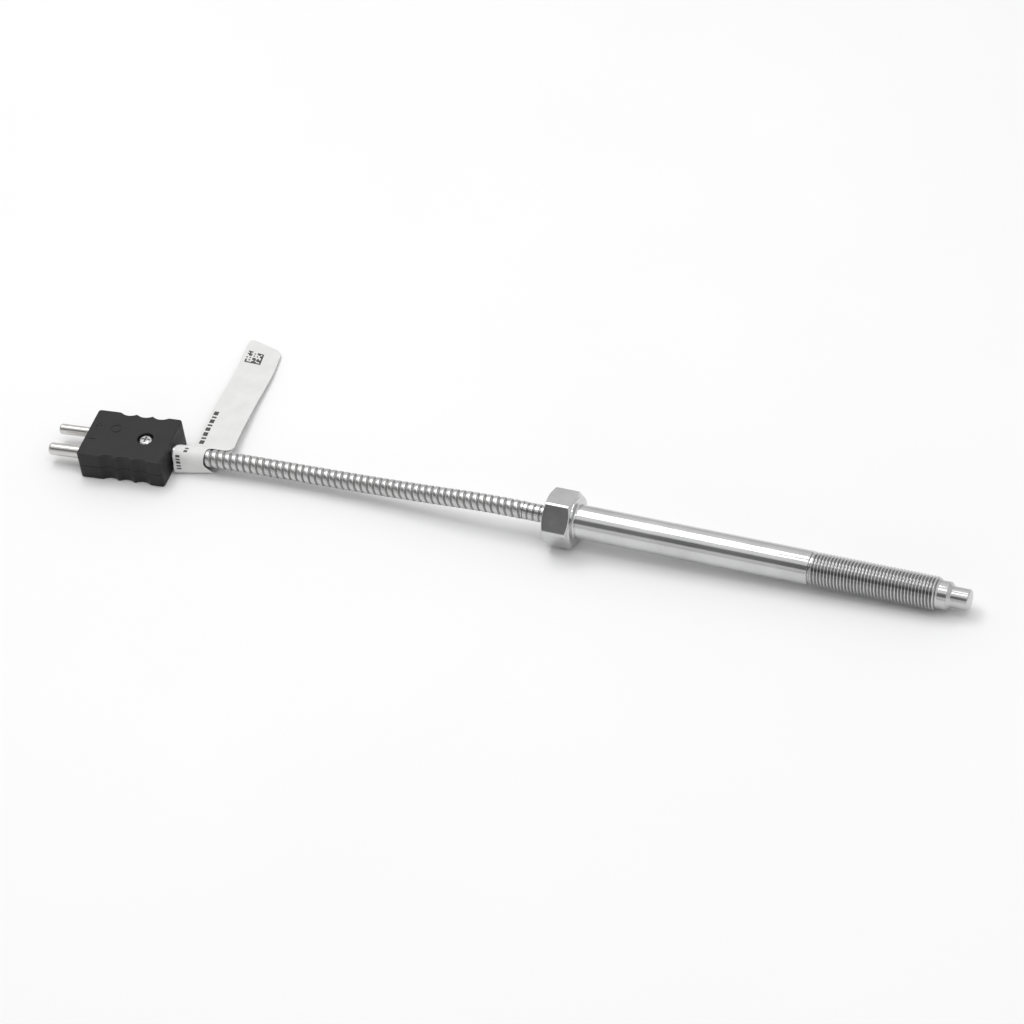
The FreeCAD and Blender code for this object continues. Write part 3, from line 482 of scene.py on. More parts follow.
def plain_metal(name, tint, low, high, scale=900.0, dirt=0.15):
    p = Paint(name, Metallic=1.0)
    w = p.where()
    cloud = p.noise(w, 260.0, 4.0, 0.6)
    grain = p.noise(w, scale * 4, 3.0, 0.6)
    p.colour(p.ramp(cloud, (0.3, tuple(c * (1 - dirt) for c in tint)), (0.7, tint)))
    p.rough(p.spread(cloud, 0.3, 0.75, low, high))
    p.bump(grain, 0.2, 0.000006)
    return p.m


def moulded(name, tint, low, high, grain=2600.0, depth=0.00002):
    """Moulded plastic or rubber: fine grain, faint flow marks, rubbed edges."""
    p = Paint(name, Metallic=0.0, Specular_IOR_Level=0.32)
    w = p.where()
    cloud = p.noise(w, 90.0, 5.0, 0.6, 0.4)
    fine = p.noise(w, grain, 3.0, 0.6)
    pits = p.voronoi(w, grain * 0.55)
    base = p.ramp(cloud, (0.30, tuple(c * 0.72 for c in tint)), (0.55, tint), (0.80, tuple(c * 1.5 for c in tint)))
    specks = p.mix(p.spread(fine, 0.60, 0.72, 0.0, 0.35), base, tuple(min(1, c * 2.6 + 0.01) for c in tint))
    rub = p.math("MULTIPLY", p.attribute("wear"), p.spread(p.noise(w, 400.0, 4.0, 0.7), 0.42, 0.62, 0.15, 0.75))
    worn = p.mix(rub, specks, tuple(min(1, c * 3.0 + 0.015) for c in tint))
    p.colour(worn)
    p.rough(p.math("ADD", p.spread(cloud, 0.3, 0.75, low, high), p.spread(fine, 0.35, 0.65, -0.04, 0.05)))
    first = p.bump(pits, 0.30, depth)
    p.bump(fine, 0.35, depth, first)
    return p.m


def woven(name, a, b, around=1500.0, rough=(0.75, 0.95)):
    """Braided yarn: two crossing sets of strands."""
    p = Paint(name, Sheen_Weight=0.3, Sheen_Roughness=0.4)
    heights = []
    for turn in (0.6, -0.6):
        wv = p.t.nodes.new("ShaderNodeTexWave")
        wv.wave_type, wv.bands_direction, wv.wave_profile = "BANDS", "X", "SIN"
        wv.inputs["Scale"].default_value = around / 6.0
        wv.inputs["Distortion"].default_value = 0.6
        wv.inputs["Detail"].default_value = 1.0
        p.link(p.where((1, 1, 1), (0.0, turn, turn)), wv.inputs["Vector"])
        heights.append(wv.outputs["Fac"])
    h = p.math("MAXIMUM", *heights)
    fuzz = p.noise(p.where(), 5000.0, 3.0, 0.7)
    # painted shade: the lows between the strands are darkened to 0.6 of the yarn colour
    tone = p.ramp(h, (0.25, tuple(c * 0.6 for c in a)), (0.75, a))
    p.colour(p.mix(p.spread(fuzz, 0.4, 0.7, 0.0, 0.5), tone, b))
    p.rough(p.spread(fuzz, 0.3, 0.7, *rough))
    p.bump(p.math("ADD", h, p.math("MULTIPLY", fuzz, 0.3)), 0.7, 0.00008)
    return p.m


def earthen(name, a, b, rough=0.8):
    p = Paint(name)
    w = p.where()
    n = p.noise(w, 700.0, 5.0, 0.7)
    p.colour(p.ramp(n, (0.35, a), (0.7, b)))
    p.rough(p.spread(n, 0.3, 0.7, rough - 0.15, min(1.0, rough + 0.1)))
    p.bump(p.noise(w, 3500.0, 3.0, 0.7), 0.4, 0.00003)
    return p.m


M = {
    "bolt_steel": steel("turned_bolt_steel", (0.62, 0.62, 0.625), 0.12, 0.20, shaded_grooves=True),
    "nose_steel": steel("turned_nose_steel", (0.59, 0.59, 0.595), 0.14, 0.24),
    "sheath_steel": steel("drawn_sheath_steel", (0.52, 0.52, 0.53), 0.28, 0.40, (500.0, 6000.0, 6000.0)),
    "ferrule_steel": steel("ferrule_steel", (0.58, 0.58, 0.585), 0.18, 0.28, (7000.0, 260.0, 260.0), shaded_grooves=True),
    "screw_steel": plain_metal("plated_screw_steel", (0.62, 0.62, 0.62), 0.18, 0.34),
    "contact_metal": steel("contact_alloy", (0.66, 0.65, 0.63), 0.15, 0.23, (7000.0, 300.0, 300.0), depth=0.0000006, stain=0.07),
    "insert_brass": plain_metal("machined_brass", (0.74, 0.55, 0.25), 0.22, 0.38),
    "crimp_tin": plain_metal("tinned_copper", (0.70, 0.70, 0.67), 0.28, 0.45),
    "weld": plain_metal("weld_bead", (0.42, 0.40, 0.38), 0.35, 0.6, 500.0, 0.35),
    "iron_wire": steel("bright_wire_iron", (0.50, 0.50, 0.50), 0.25, 0.4, (400.0, 7000.0, 7000.0)),
    "constantan_wire": steel("bright_wire_alloy", (0.60, 0.54, 0.46), 0.25, 0.4, (400.0, 7000.0, 7000.0)),
    "plug_black": moulded("glass_filled_black", (0.012, 0.012, 0.013), 0.40, 0.52),
    "bush_rubber": moulded("bush_rubber_black", (0.022, 0.022, 0.022), 0.60, 0.78, 1800.0, 0.00003),
    "mineral": earthen("pressed_mineral", (0.78, 0.77, 0.73), (0.90, 0.89, 0.86), 0.9),
    "epoxy": earthen("potting_resin", (0.07, 0.05, 0.04), (0.13, 0.10, 0.08), 0.42),
    "glass_braid": woven("glass_braid", (0.78, 0.75, 0.67), (0.90, 0.88, 0.82)),
    "core_white": woven("core_braid_white", (0.80, 0.79, 0.76), (0.92, 0.91, 0.88), 2600.0),
    "core_red": woven("core_braid_red", (0.46, 0.06, 0.045), (0.62, 0.16, 0.12), 2600.0),
}


def armour_material():
    """Bright strip: polished crowns, painted shade and a rougher finish down in the seams."""
    p = Paint("armour_strip_steel", Metallic=1.0)
    w = p.where()
    cloud = p.noise(w, 70.0, 4.0, 0.6)
    fine = p.noise(p.where((900.0, 5200.0, 5200.0)), 1.0, 3.0, 0.6)
    groove_shade_mask = p.attribute("groove_shade_mask")
    tone = p.ramp(cloud, (0.3, (0.50, 0.50, 0.50)), (0.55, (0.58, 0.58, 0.58)), (0.8, (0.65, 0.65, 0.645)))
    # painted shade: a near-black colour mixed into the seams, up to 0.8, varied by noise
    painted_shade = p.math("MULTIPLY", groove_shade_mask, p.spread(cloud, 0.3, 0.7, 0.75, 1.0))
    p.colour(p.mix(p.spread(painted_shade, 0.15, 1.0, 0.0, 0.80), tone, (0.085, 0.083, 0.078)))
    p.rough(p.math("ADD", p.spread(cloud, 0.3, 0.7, 0.20, 0.32), p.math("MULTIPLY", groove_shade_mask, 0.28)))
    p.bump(fine, 0.30, 0.000008)
    return p.m


def label_material():
    """White film with generic black bars and blocks, laid out in the strip's own coordinates."""
    p = Paint("label_film_white", Specular_IOR_Level=0.45)
    c = p.t.nodes.new("ShaderNodeTexCoord")
    split = p.t.nodes.new("ShaderNodeSeparateXYZ")
    p.link(c.outputs["UV"], split.inputs[0])
    u, v = split.outputs[0], split.outputs[1]  # millimetres along and across the strip

    def inside(x, lo, hi):
        return p.math("MULTIPLY", p.math("GREATER_THAN", x, lo), p.math("LESS_THAN", x, hi))

    def box(u0, u1, v0, v1):
        return p.math("MULTIPLY", inside(u, u0, u1), inside(v, v0, v1))

    marks = None
    for spec in PRINT:
        b = box(*spec)
        marks = b if marks is None else p.math("MAXIMUM", marks, b)
    # a coarse block of squares
    for u0, v0, size, n in BLOCKS:
        cu = p.math("FLOOR", p.math("MULTIPLY", p.math("SUBTRACT", u, u0), n / size))
        cv = p.math("FLOOR", p.math("MULTIPLY", p.math("SUBTRACT", v, v0), n / size))
        mixed = p.math("ADD", p.math("MULTIPLY", cu, 7.0), p.math("MULTIPLY", cv, p.math("ADD", p.math("MULTIPLY", cu, 5.0), 13.0)))
        pick = p.math("LESS_THAN", p.math("MODULO", mixed, 11.0), 5.5)
        sides = p.math("MAXIMUM", p.math("GREATER_THAN", cu, n - 1.5), p.math("GREATER_THAN", cv, n - 1.5))
        dots = p.math("MULTIPLY", p.math("MAXIMUM", pick, sides), box(u0, u0 + size, v0, v0 + size))
        marks = p.math("MAXIMUM", marks, dots)
    w = p.where()
    paper = p.noise(w, 160.0, 4.0, 0.6)
    ink = p.noise(w, 3000.0, 2.0, 0.6)
    white = p.ramp(paper, (0.3, (0.70, 0.70, 0.69)), (0.7, (0.76, 0.76, 0.755)))
    p.colour(p.mix(p.math("MULTIPLY", marks, p.spread(ink, 0.3, 0.6, 0.90, 0.98)), white, (0.02, 0.02, 0.022)))
    p.rough(p.math("SUBTRACT", p.spread(paper, 0.3, 0.7, 0.40, 0.52), p.math("MULTIPLY", marks, 0.08)))
    p.bump(p.noise(w, 1200.0, 3.0, 0.6), 0.15, 0.00002)
    return p.m


def finish_piece(ob, slot, body, *nodes, angle=30.0, smooth=True, material=None, flats=None):
    if smooth:
        shade(ob, angle)
    if flats:
        keep_flats(ob, flats)
    ob.data.materials.clear()
    ob.data.materials.append(material or M[slot])
    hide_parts(*nodes)
    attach(ob, body)
    return ob


# ------------------------------------------------------------------ the lead's route, in metres
def at_plug(x, y, z):
    return tuple((PLUG @ Vector((x, y, z))))


ROUTE = [
    (-0.0211, 0.0, 0.0),
    (-0.0360, 0.0, 0.0),
    (-0.0600, 0.0012, -0.0031),
    (-0.0900, 0.0027, -0.0063),
    (-0.1170, 0.0032, -0.0078),
    (-0.1440, 0.00245, -0.00817),
    at_plug(12.8, 0.0, 6.0),
]
line = bpy.data.curves.new("lead_line", "CURVE")
line.dimensions = "3D"
line.resolution_u = 64
spline = line.splines.new("NURBS")
spline.points.add(len(ROUTE) - 1)
for point, q in zip(spline.points, ROUTE):
    point.co = (*q, 1.0)
spline.order_u = 3
spline.use_endpoint_u = True
spline.resolution_u = 64
line_object = bpy.data.objects.new("lead_line", line)
SCENE.collection.objects.link(line_object)
bpy.context.view_layer.update()
line_mesh = bpy.data.meshes.new_from_object(line_object)
LEAD = np.array([v.co for v in line_mesh.vertices], float)
bpy.data.objects.remove(line_object)
bpy.data.meshes.remove(line_mesh)
STEP = np.linalg.norm(np.diff(LEAD, axis=0), axis=1)
ALONG = np.concatenate([[0.0], np.cumsum(STEP)])
LEAD_LENGTH = float(ALONG[-1])
SLOPE = np.gradient(LEAD, ALONG, axis=0)


def lead_point(s, t, r):
    """A point round the lead: s metres along, angle t, r metres out."""
    c = np.array([np.interp(s, ALONG, LEAD[:, k]) for k in range(3)])
    d = np.array([np.interp(s, ALONG, SLOPE[:, k]) for k in range(3)])
    d /= np.linalg.norm(d)
    a = np.array([0.0, 1.0, 0.0])
    a -= d * (a @ d)
    a /= np.linalg.norm(a)
    b = np.cross(d, a)
    return c + r * (a * math.cos(t) + b * math.sin(t))


# strip-wound armour: a crowned outer strip that laps over the next turn
PITCH = 0.00270
STRIP_SHAPE = [  # phase, radius in mm, painted seam shade
    (0.000, 3.11, 1.0), (0.018, 3.24, 0.6), (0.05, 3.33, 0.12), (0.12, 3.378, 0.0), (0.24, 3.398, 0.0), (0.37, 3.398, 0.0), (0.50, 3.388, 0.0),
    (0.60, 3.36, 0.0), (0.675, 3.30, 0.12), (0.715, 3.20, 0.45), (0.745, 3.10, 0.9), (0.80, 3.055, 1.0), (0.87, 3.05, 0.8), (0.945, 3.06, 0.9),
]
CROWN = table_of([(p, r) for p, r, _ in STRIP_SHAPE])
SEAM_SHADE = table_of([(p, k) for p, _, k in STRIP_SHAPE])
PHASES = [p for p, _, _ in STRIP_SHAPE]
skin = Skin()
N = 44
first, last = helical(skin, lead_point, 0.0, LEAD_LENGTH, PITCH, PHASES, lambda s, p: (CROWN(p) * 0.001, SEAM_SHADE(p)), N)
inner = []
for k in range(60):
    s = LEAD_LENGTH * k / 59.0
    inner.append(skin.ring([lead_point(s, t, 0.00266) for t in even(N)], 1.0))
for a, b in zip(inner, inner[1:]):
    skin.bridge(a, b)
skin.bridge(first, inner[0])
skin.bridge(last, inner[-1])
armour = mesh_object("armour_lead", skin.v, skin.f, None, 1.5e-6, ("groove_shade_mask", skin.a))
finish_piece(armour, "armour_steel", "probe", "armour_hose", angle=50.0, material=armour_material())

# ------------------------------------------------------------------ ferrule
line_up = [(-5.05, 2.55), (-5.05, 3.3)]
turns = {1: 0.1}
for k in (3.3, 5.7, 8.1):
    for d, r, soft in ((0.45, 3.3, 0.14), (0.2, 3.06, 0.10), (-0.2, 3.06, 0.10), (-0.45, 3.3, 0.14)):
        turns[len(line_up)] = soft
        line_up.append((-11.0 - k + d, r))
turns[len(line_up)] = 0.35
line_up += [(-21.1, 3.3), (-21.1, 2.55)]
profile = rounded(line_up, turns, 4)
skin = Skin()
rings = lathe(skin, profile, 96)
# painted shade mask: 0 on the ferrule's outer surface, 1 down in the crimp grooves
for (x, r), ring in zip(profile, rings):
    for k in ring:
        skin.a[k] = min(max((3.29 - r) / 0.2, 0.0), 1.0) if x > -20.6 else 0.0
ferrule = mesh_object("crimped_ferrule", skin.v, skin.f, ROW, 1e-5, ("groove_shade_mask", skin.a))
finish_piece(ferrule, "ferrule_steel", "probe", "ferrule", angle=40.0)

# ------------------------------------------------------------------ bolt
half_sector = [0.0, 4.0, 8.0, 12.0, 15.0, 18.0, 20.5, 22.5, 24.0, 25.2, 26.2, 26.9, 27.4, 27.8, 28.3, 29.0, 30.0]
sector = [-a for a in half_sector[:0:-1]] + half_sector[:-1]
sector = [a for a in sector if a > -30.0] + [30.0]
HEX = sorted((math.radians(-8.7 + 30.0 + 60.0 * k + a)) % TAU for k in range(6) for a in sector)


def flat_distance(t):
    d = (math.degrees(t) - (-8.7 + 30.0) + 30.0) % 60.0 - 30.0
    return 9.525 / math.cos(math.radians(d))


def soft_min(a, b, k):
    w = max(k - abs(a - b), 0.0) / k
    return min(a, b) - w * w * k * 0.25


def hex_ring(skin, x, r):
    return skin.ring([(x, soft_min(r, flat_distance(t), 0.14) * math.cos(t), soft_min(r, flat_distance(t), 0.14) * math.sin(t)) for t in HEX])


def between(a, b, n):
    return [(a[0] + (b[0] - a[0]) * k / n, a[1] + (b[1] - a[1]) * k / n) for k in range(n + 1)]


ROUND = even(96)
skin = Skin()
# the bore, from the nose's socket back to the cable side
bores = [(134.0, 3.05), (134.0, 1.68), (10.0, 1.68), (10.0, 3.05), (-5.0, 3.05), (-5.0, 3.35), (-10.75, 3.35), (-10.93, 3.42), (-11.0, 3.6)]
chain = [skin.turn(x, r, ROUND) for x, r in bores]
for a, b in zip(chain, chain[1:]):
    skin.bridge(a, b)
head = [(-11.0, 9.05), (-10.985, 9.24), (-10.93, 9.37)] + between((-10.90, 9.43), (-10.20, 10.66), 11)
head += [(-10.10, 10.735), (-9.9, 10.75), (-7.5, 10.75), (-5.0, 10.75), (-3.0, 10.75), (-1.65, 10.75), (-1.45, 10.735)]
head += between((-1.38, 10.68), (-0.54, 9.26), 12) + [(-0.47, 9.2), (-0.10, 9.2), (-0.03, 9.17), (0.0, 9.10), (0.0, 7.2)]
rings = [hex_ring(skin, x, r) for x, r in head]
skin.zip(chain[-1], ROUND, rings[0], HEX)
for a, b in zip(rings, rings[1:]):
    skin.bridge(a, b)
neck = [(0.0, 7.05)] + [(0.7 - 0.7 * math.cos(k * math.pi / 16), 7.05 - 0.7 * math.sin(k * math.pi / 16)) for k in range(1, 9)]
neck += between((4.0, 6.35), (88.0, 6.35), 14) + [(89.6, 6.35), (89.86, 6.345), (89.91, 6.31), (90.12, 5.70), (90.16, 5.65), (90.39, 5.65)]
rings2 = [skin.turn(x, r, ROUND) for x, r in neck]
skin.zip(rings[-1], HEX, rings2[0], ROUND)
for a, b in zip(rings2, rings2[1:]):
    skin.bridge(a, b)
# 1/2-20 thread: 60 degree flanks, flat crests, rounded roots, running out to the shank
P_UNF = 1.27
GROOVE = table_of([
    (0.0, 0.02), (0.02, 0.0), (0.105, 0.0), (0.125, 0.02), (0.30, 0.49), (0.455, 0.94), (0.50, 1.0), (0.5625, 1.03), (0.625, 1.0), (0.67, 0.94), (0.825, 0.49),
])
UNF_PHASES = [0.0, 0.02, 0.105, 0.125, 0.30, 0.455, 0.50, 0.5625, 0.625, 0.67, 0.825]


def unf(s, phase):
    run_in = min(max((s - 90.2) / 1.1, 0.0), 1.0)
    run_in = run_in * run_in * (3 - 2 * run_in)
    r = 6.30 - 0.72 * run_in * GROOVE(phase)
    # painted shade mask for the thread roots: darker towards the root of each groove
    painted_shade = max(0.0, min(1.0, (6.15 - r) / 0.5))
    if s > 137.2:
        r = soft_min(r, 6.30 - (s - 137.2) * 1.05 / 1.2, 0.05)
    return r, painted_shade * painted_shade


first, last = helical(skin, lambda s, t, r: (s, r * math.cos(t), r * math.sin(t)), 90.65, 138.4, P_UNF, UNF_PHASES, unf, 96)
skin.bridge(rings2[-1], first)
tail = [(138.5, 5.25), (141.62, 5.25), (141.75, 5.20), (141.8, 5.12), (141.8, 3.05)]
rings3 = [skin.turn(x, r, ROUND) for x, r in tail]
skin.bridge(last, rings3[0])
for a, b in zip(rings3, rings3[1:]):
    skin.bridge(a, b)
skin.bridge(rings3[-1], chain[0])
bolt = mesh_object("melt_bolt", skin.v, skin.f, ROW, 1e-5, ("groove_shade_mask", skin.a))
finish_piece(bolt, "bolt_steel", "probe", "probe_bolt", angle=28.0)

# ------------------------------------------------------------------ nose
profile = rounded(
    [(134.1, 1.68), (148.7, 1.68), (148.7, 0.0), (149.5, 0.0), (149.5, 3.5), (149.1, 3.9), (143.15, 3.9), (141.85, 5.2), (141.8, 5.15), (141.8, 3.0), (134.1, 3.0)],
    {4: 0.12, 5: 0.12, 6: 0.15, 7: 0.04}, 4)
skin = Skin()
lathe(skin, profile, 96)
nose = mesh_object("turned_nose", skin.v, skin.f, ROW)
finish_piece(nose, "nose_steel", "probe", "sensing_nose", angle=30.0)

# ------------------------------------------------------------------ weld bead that joins the element's wires
# a frozen drop, with faint rings where it set
drop = [(147.0, 0.0)]
for k in range(24):
    a = math.radians(90.0 * k / 24.0)
    size = 1.14 - 0.02 * (0.5 - 0.5 * math.cos(12.0 * a))
    drop.append((147.0 + size * math.sin(a), size * math.cos(a)))
drop.append((148.14, 0.0))
skin = Skin()
lathe(skin, drop, 48)
finish_piece(mesh_object("weld_drop", skin.v, skin.f, ROW), "weld", "probe", "junction_bead", angle=40.0)


# ------------------------------------------------------------------ plug shells
def arc(cx, cy, r, a0, a1, n):
    return [(cx + r * math.cos(math.radians(a0 + (a1 - a0) * k / n)), cy + r * math.sin(math.radians(a0 + (a1 - a0) * k / n))) for k in range(n + 1)]


def side(x):
    """Half width at x, with the three grip hollows."""
    d = 0.0
    for c in (-4.6, 1.8, 8.2):
        if abs(x - c) < 3.2:
            d = max(d, math.sqrt(4.87 ** 2 - (x - c) ** 2) - 3.67)
    return 12.5 - d


def plug_outline():
    xs = np.arange(-15.8, 15.8001, 0.1)
    ys = np.array([side(x) for x in xs])
    for _ in range(14):  # ease the crests and the ends of the hollows
        ys[1:-1] = 0.25 * ys[:-2] + 0.5 * ys[1:-1] + 0.25 * ys[2:]
    keep = list(range(0, len(xs), 2))
    far = [(xs[k], ys[k]) for k in keep]
    near = [(x, -y) for x, y in far]
    out = near + arc(15.8, -11.3, 1.2, -90, 0, 8)[1:] + arc(15.8, 11.3, 1.2, 0, 90, 8)
    out += far[::-1][1:] + arc(-15.8, 11.3, 1.2, 90, 180, 8)[1:] + arc(-15.8, -11.3, 1.2, 180, 270, 8)[:-1]
    clean = [out[0]]
    for p in out[1:]:
        if math.hypot(p[0] - clean[-1][0], p[1] - clean[-1][1]) > 1e-4:
            clean.append(p)
    return clean


OUTLINE = plug_outline()


def inset(points, d):
    out = []
    n = len(points)
    for i in range(n):
        a, b = points[i - 1], points[(i + 1) % n]
        dx, dy = b[0] - a[0], b[1] - a[1]
        k = math.hypot(dx, dy)
        out.append((points[i][0] - dy / k * d, points[i][1] + dx / k * d))
    return out


def shell(name, lower):
    """Outer skin of one shell in the plug's frame."""
    skin = Skin()
    edge = 0.6
    if lower:
        levels = [(5.95, 0.05), (5.90, 0.0), (4.2, 0.0), (2.4, 0.0)] + [
            (edge - (edge - 0.004) * math.sin(k * math.pi / 16), edge - edge * math.cos(k * math.pi / 16)) for k in range(9)]
    else:
        levels = [(6.05, 0.05), (6.10, 0.0), (7.8, 0.0), (9.6, 0.0)] + [
            (12.0 - edge + edge * math.sin(k * math.pi / 16), edge - edge * math.cos(k * math.pi / 16)) for k in range(9)]
    rings = [skin.ring([(x, y, z) for x, y in inset(OUTLINE, d)]) for z, d in levels]
    for a, b in zip(rings, rings[1:]):
        skin.bridge(a, b)
    skin.fan(rings[0])
    skin.fan(rings[-1])
    ob = mesh_object(name, skin.v, skin.f)
    s = -1.0 if lower else 1.0
    # the wiring space, with the screw's post left standing
    lo, hi = (2.4, 6.5) if lower else (5.5, 9.6)
    w = 9.2
    space = arc(10.2 - 0.8, -w + 0.8, 0.8, -90, 0, 4) + arc(10.2 - 0.8, w - 0.8, 0.8, 0, 90, 4)
    space += arc(-11.0 + 0.8, w - 0.8, 0.8, 90, 180, 4) + arc(-11.0 + 0.8, -w + 0.8, 0.8, 180, 270, 4)
    room = prism("room", space, lo, hi)
    post = rod("post", (6.6, 0, lo - 1), (6.6, 0, hi + 1), 2.7, 64)
    room = carve(room, [post])
    cutters = [room]
    cutters.append(rod("channel_far", (-18, 5.55, 6), (-9.5, 5.55, 6), 1.78, 56))
    cutters.append(rod("channel_near", (-18, -5.55, 6), (-9.5, -5.55, 6), 2.18, 56))
    cutters.append(rod("collar_far", (-15.26, 5.55, 6), (-13.94, 5.55, 6), 3.0, 56))
    cutters.append(rod("collar_near", (-15.26, -5.55, 6), (-13.94, -5.55, 6), 3.0, 56))
    cutters.append(rod("entry", (8.7, 0, 6), (18, 0, 6), 3.55, 72))
    cutters.append(rod("bush_seat", (12.74, 0, 6), (15.66, 0, 6), 4.3, 72))
    if lower:
        cutters.append(rod("insert_hole", (6.6, 0, 1.2), (6.6, 0, 7), 2.2, 56))
    else:
        cutters.append(rod("screw_hole", (6.6, 0, 5), (6.6, 0, 13), 1.75, 48))
        cutters.append(rod("recess", (6.6, 0, 10.1), (6.6, 0, 13), 3.15, 72))
        # polarity signs and a plain ring, sunk a little
        cutters.append(block("plus_a", (-15.0, 3.35, 11.8), (-12.4, 3.85, 12.5)))
        cutters.append(block("plus_b", (-13.95, 2.3, 11.8), (-13.45, 4.9, 12.5)))
        cutters.append(block("minus", (-15.0, -3.85, 11.8), (-12.4, -3.35, 12.5)))
        disc = rod("ring_out", (-6.4, 3.2, 11.82), (-6.4, 3.2, 12.5), 2.1, 56)
        core = rod("ring_in", (-6.4, 3.2, 11.0), (-6.4, 3.2, 13.0), 1.7, 56)
        cutters.append(carve(disc, [core]))
    for c in cutters:
        ob = carve(ob, [c])
    me = ob.data
    old = me.attributes.get("wear")
    if old:
        me.attributes.remove(old)
    wear = me.attributes.new("wear", "FLOAT", "POINT")
    for v in me.vertices:
        t = (v.co.z if lower else 12.0 - v.co.z) / edge
        wear.data[v.index].value = math.sin(math.pi * t) if 0.0 < t < 1.0 else 0.0
    return ob


lower = to_row(shell("plug_lower_shell", True), PLUG)
upper = to_row(shell("plug_upper_shell", False), PLUG)
finish_piece(lower, "plug_black", "probe", "plug_base", angle=35.0, flats=6.0)
finish_piece(upper, "plug_black", "cover", "plug_cover", angle=35.0, flats=6.0)

# ------------------------------------------------------------------ contacts
for word, y, r, nodes in (("positive", 5.55, 2.0, "contact_positive"), ("negative", -5.55, 2.4, "contact_negative")):
    tip, neck = -31.35, r - 0.3
    profile = rounded(
        [(tip, 0.0), (tip, r), (-17.2, r), (-17.2, neck), (-15.2, neck), (-15.2, 2.9), (-14.0, 2.9), (-14.0, neck), (-3.6, neck), (-3.6, 0.0)],
        {1: r - 0.08, 2: 0.08, 5: 0.12, 6: 0.12, 8: 0.15}, 12)
    skin = Skin()
    lathe(skin, profile, 72)
    pin = mesh_object("pin_" + word, [(x, py + y, pz + 6.0) for x, py, pz in skin.v], skin.f)
    pin = carve(pin, [block("flat", (-11.0, y - 4, 5.5), (-2.5, y + 4, 9.5)), rod("tapped", (-7.2, y, 2.0), (-7.2, y, 7.0), 1.23, 40)])
    to_row(pin, PLUG)
    finish_piece(pin, "contact_metal", "probe", nodes, angle=35.0, flats=2.0)


# ------------------------------------------------------------------ cover screw
def upright_place(s, t, r):
    return (6.6 + r * math.cos(t), r * math.sin(t), s)


skin = Skin()
angles = even(48)


def up_ring(z, r):
    return skin.ring([upright_place(z, t, r) for t in angles])


M3 = table_of([(0.0, 0.0), (0.12, 0.0), (0.5, 1.0), (0.65, 1.0)])
first, last = helical(skin, upright_place, 2.25, 9.3, 0.5, [0.0, 0.12, 0.31, 0.5, 0.65, 0.82],
                      lambda s, p: (1.45 - 0.26 * min(1.0, (9.3 - s) / 0.8, 1.0) * M3(p), 0.0), 48)
point = up_ring(1.85, 0.95)
skin.bridge(point, first)
skin.fan(point)
chain = [last] + [up_ring(z, r) for z, r in rounded(
    [(9.5, 1.45), (10.15, 1.45), (10.15, 2.85), (11.02, 2.85), (11.62, 1.9), (11.70, 0.9)], {1: 0.1, 2: 0.08, 3: 0.25, 4: 0.5}, 5)]
for a, b in zip(chain, chain[1:]):
    skin.bridge(a, b)
skin.fan(chain[-1])
screw = mesh_object("cross_screw", skin.v, skin.f)


def cross_blade(name, along_x):
    """One tapered blade of the cross recess."""
    v = []
    for z, lx, ly in ((12.2, 1.95, 0.34), (11.4, 1.6, 0.30), (10.62, 0.55, 0.24)):
        for sx, sy in ((-1, -1), (1, -1), (1, 1), (-1, 1)):
            a, b = sx * lx, sy * ly
            if not along_x:
                a, b = -sy * ly, sx * lx
            v.append((6.6 + a, b, z))
    f = [(0, 1, 2, 3), (8, 9, 10, 11)]
    for k in (0, 4):
        for j in range(4):
            f.append((k + j, k + (j + 1) % 4, k + 4 + (j + 1) % 4, k + 4 + j))
    return mesh_object(name, v, f)


screw = carve(screw, [cross_blade("blade_a", True)])
screw = carve(screw, [cross_blade("blade_b", False)])
to_row(screw, PLUG)
finish_piece(screw, "screw_steel", "screw", "cover_screw", angle=35.0)

# ------------------------------------------------------------------ marker label
# One strip of film: from the flag's end up to the lead, over it, slack round its near side and
# underneath, and back to the flag's end, where the two layers are stuck together.
LAYER = 0.13
FLAG = [(73.3, 1.0, -165.3), (64.0, 1.15, -164.2), (55.8, 1.5, -163.2), (46.0, 1.95, -162.6), (38.0, 2.4, -162.2), (30.6, 2.9, -161.6), (24.0, 3.4, -161.0), (17.5, 3.9, -160.3), (13.5, 4.25, -159.7), (10.4, 4.55, -159.3)]


def smooth_path(points, step):
    """An even, gently curved line through the points (Catmull-Rom)."""
    pts = [np.array(p, float) for p in points]
    pts = [2 * pts[0] - pts[1]] + pts + [2 * pts[-1] - pts[-2]]
    fine = []
    for a, b, c, d in zip(pts, pts[1:], pts[2:], pts[3:]):
        for t in np.linspace(0, 1, 24, endpoint=False):
            fine.append(0.5 * ((2 * b) + (c - a) * t + (2 * a - 5 * b + 4 * c - d) * t * t + (3 * b - a - 3 * c + d) * t ** 3))
    fine.append(pts[-2])
    fine = np.array(fine)
    s = np.concatenate([[0], np.cumsum(np.linalg.norm(np.diff(fine[:, :2], axis=0), axis=1))])
    n = int(s[-1] / step)
    at = np.linspace(0, s[-1], n + 1)
    return np.stack([np.interp(at, s, fine[:, k]) for k in range(fine.shape[1])], 1)


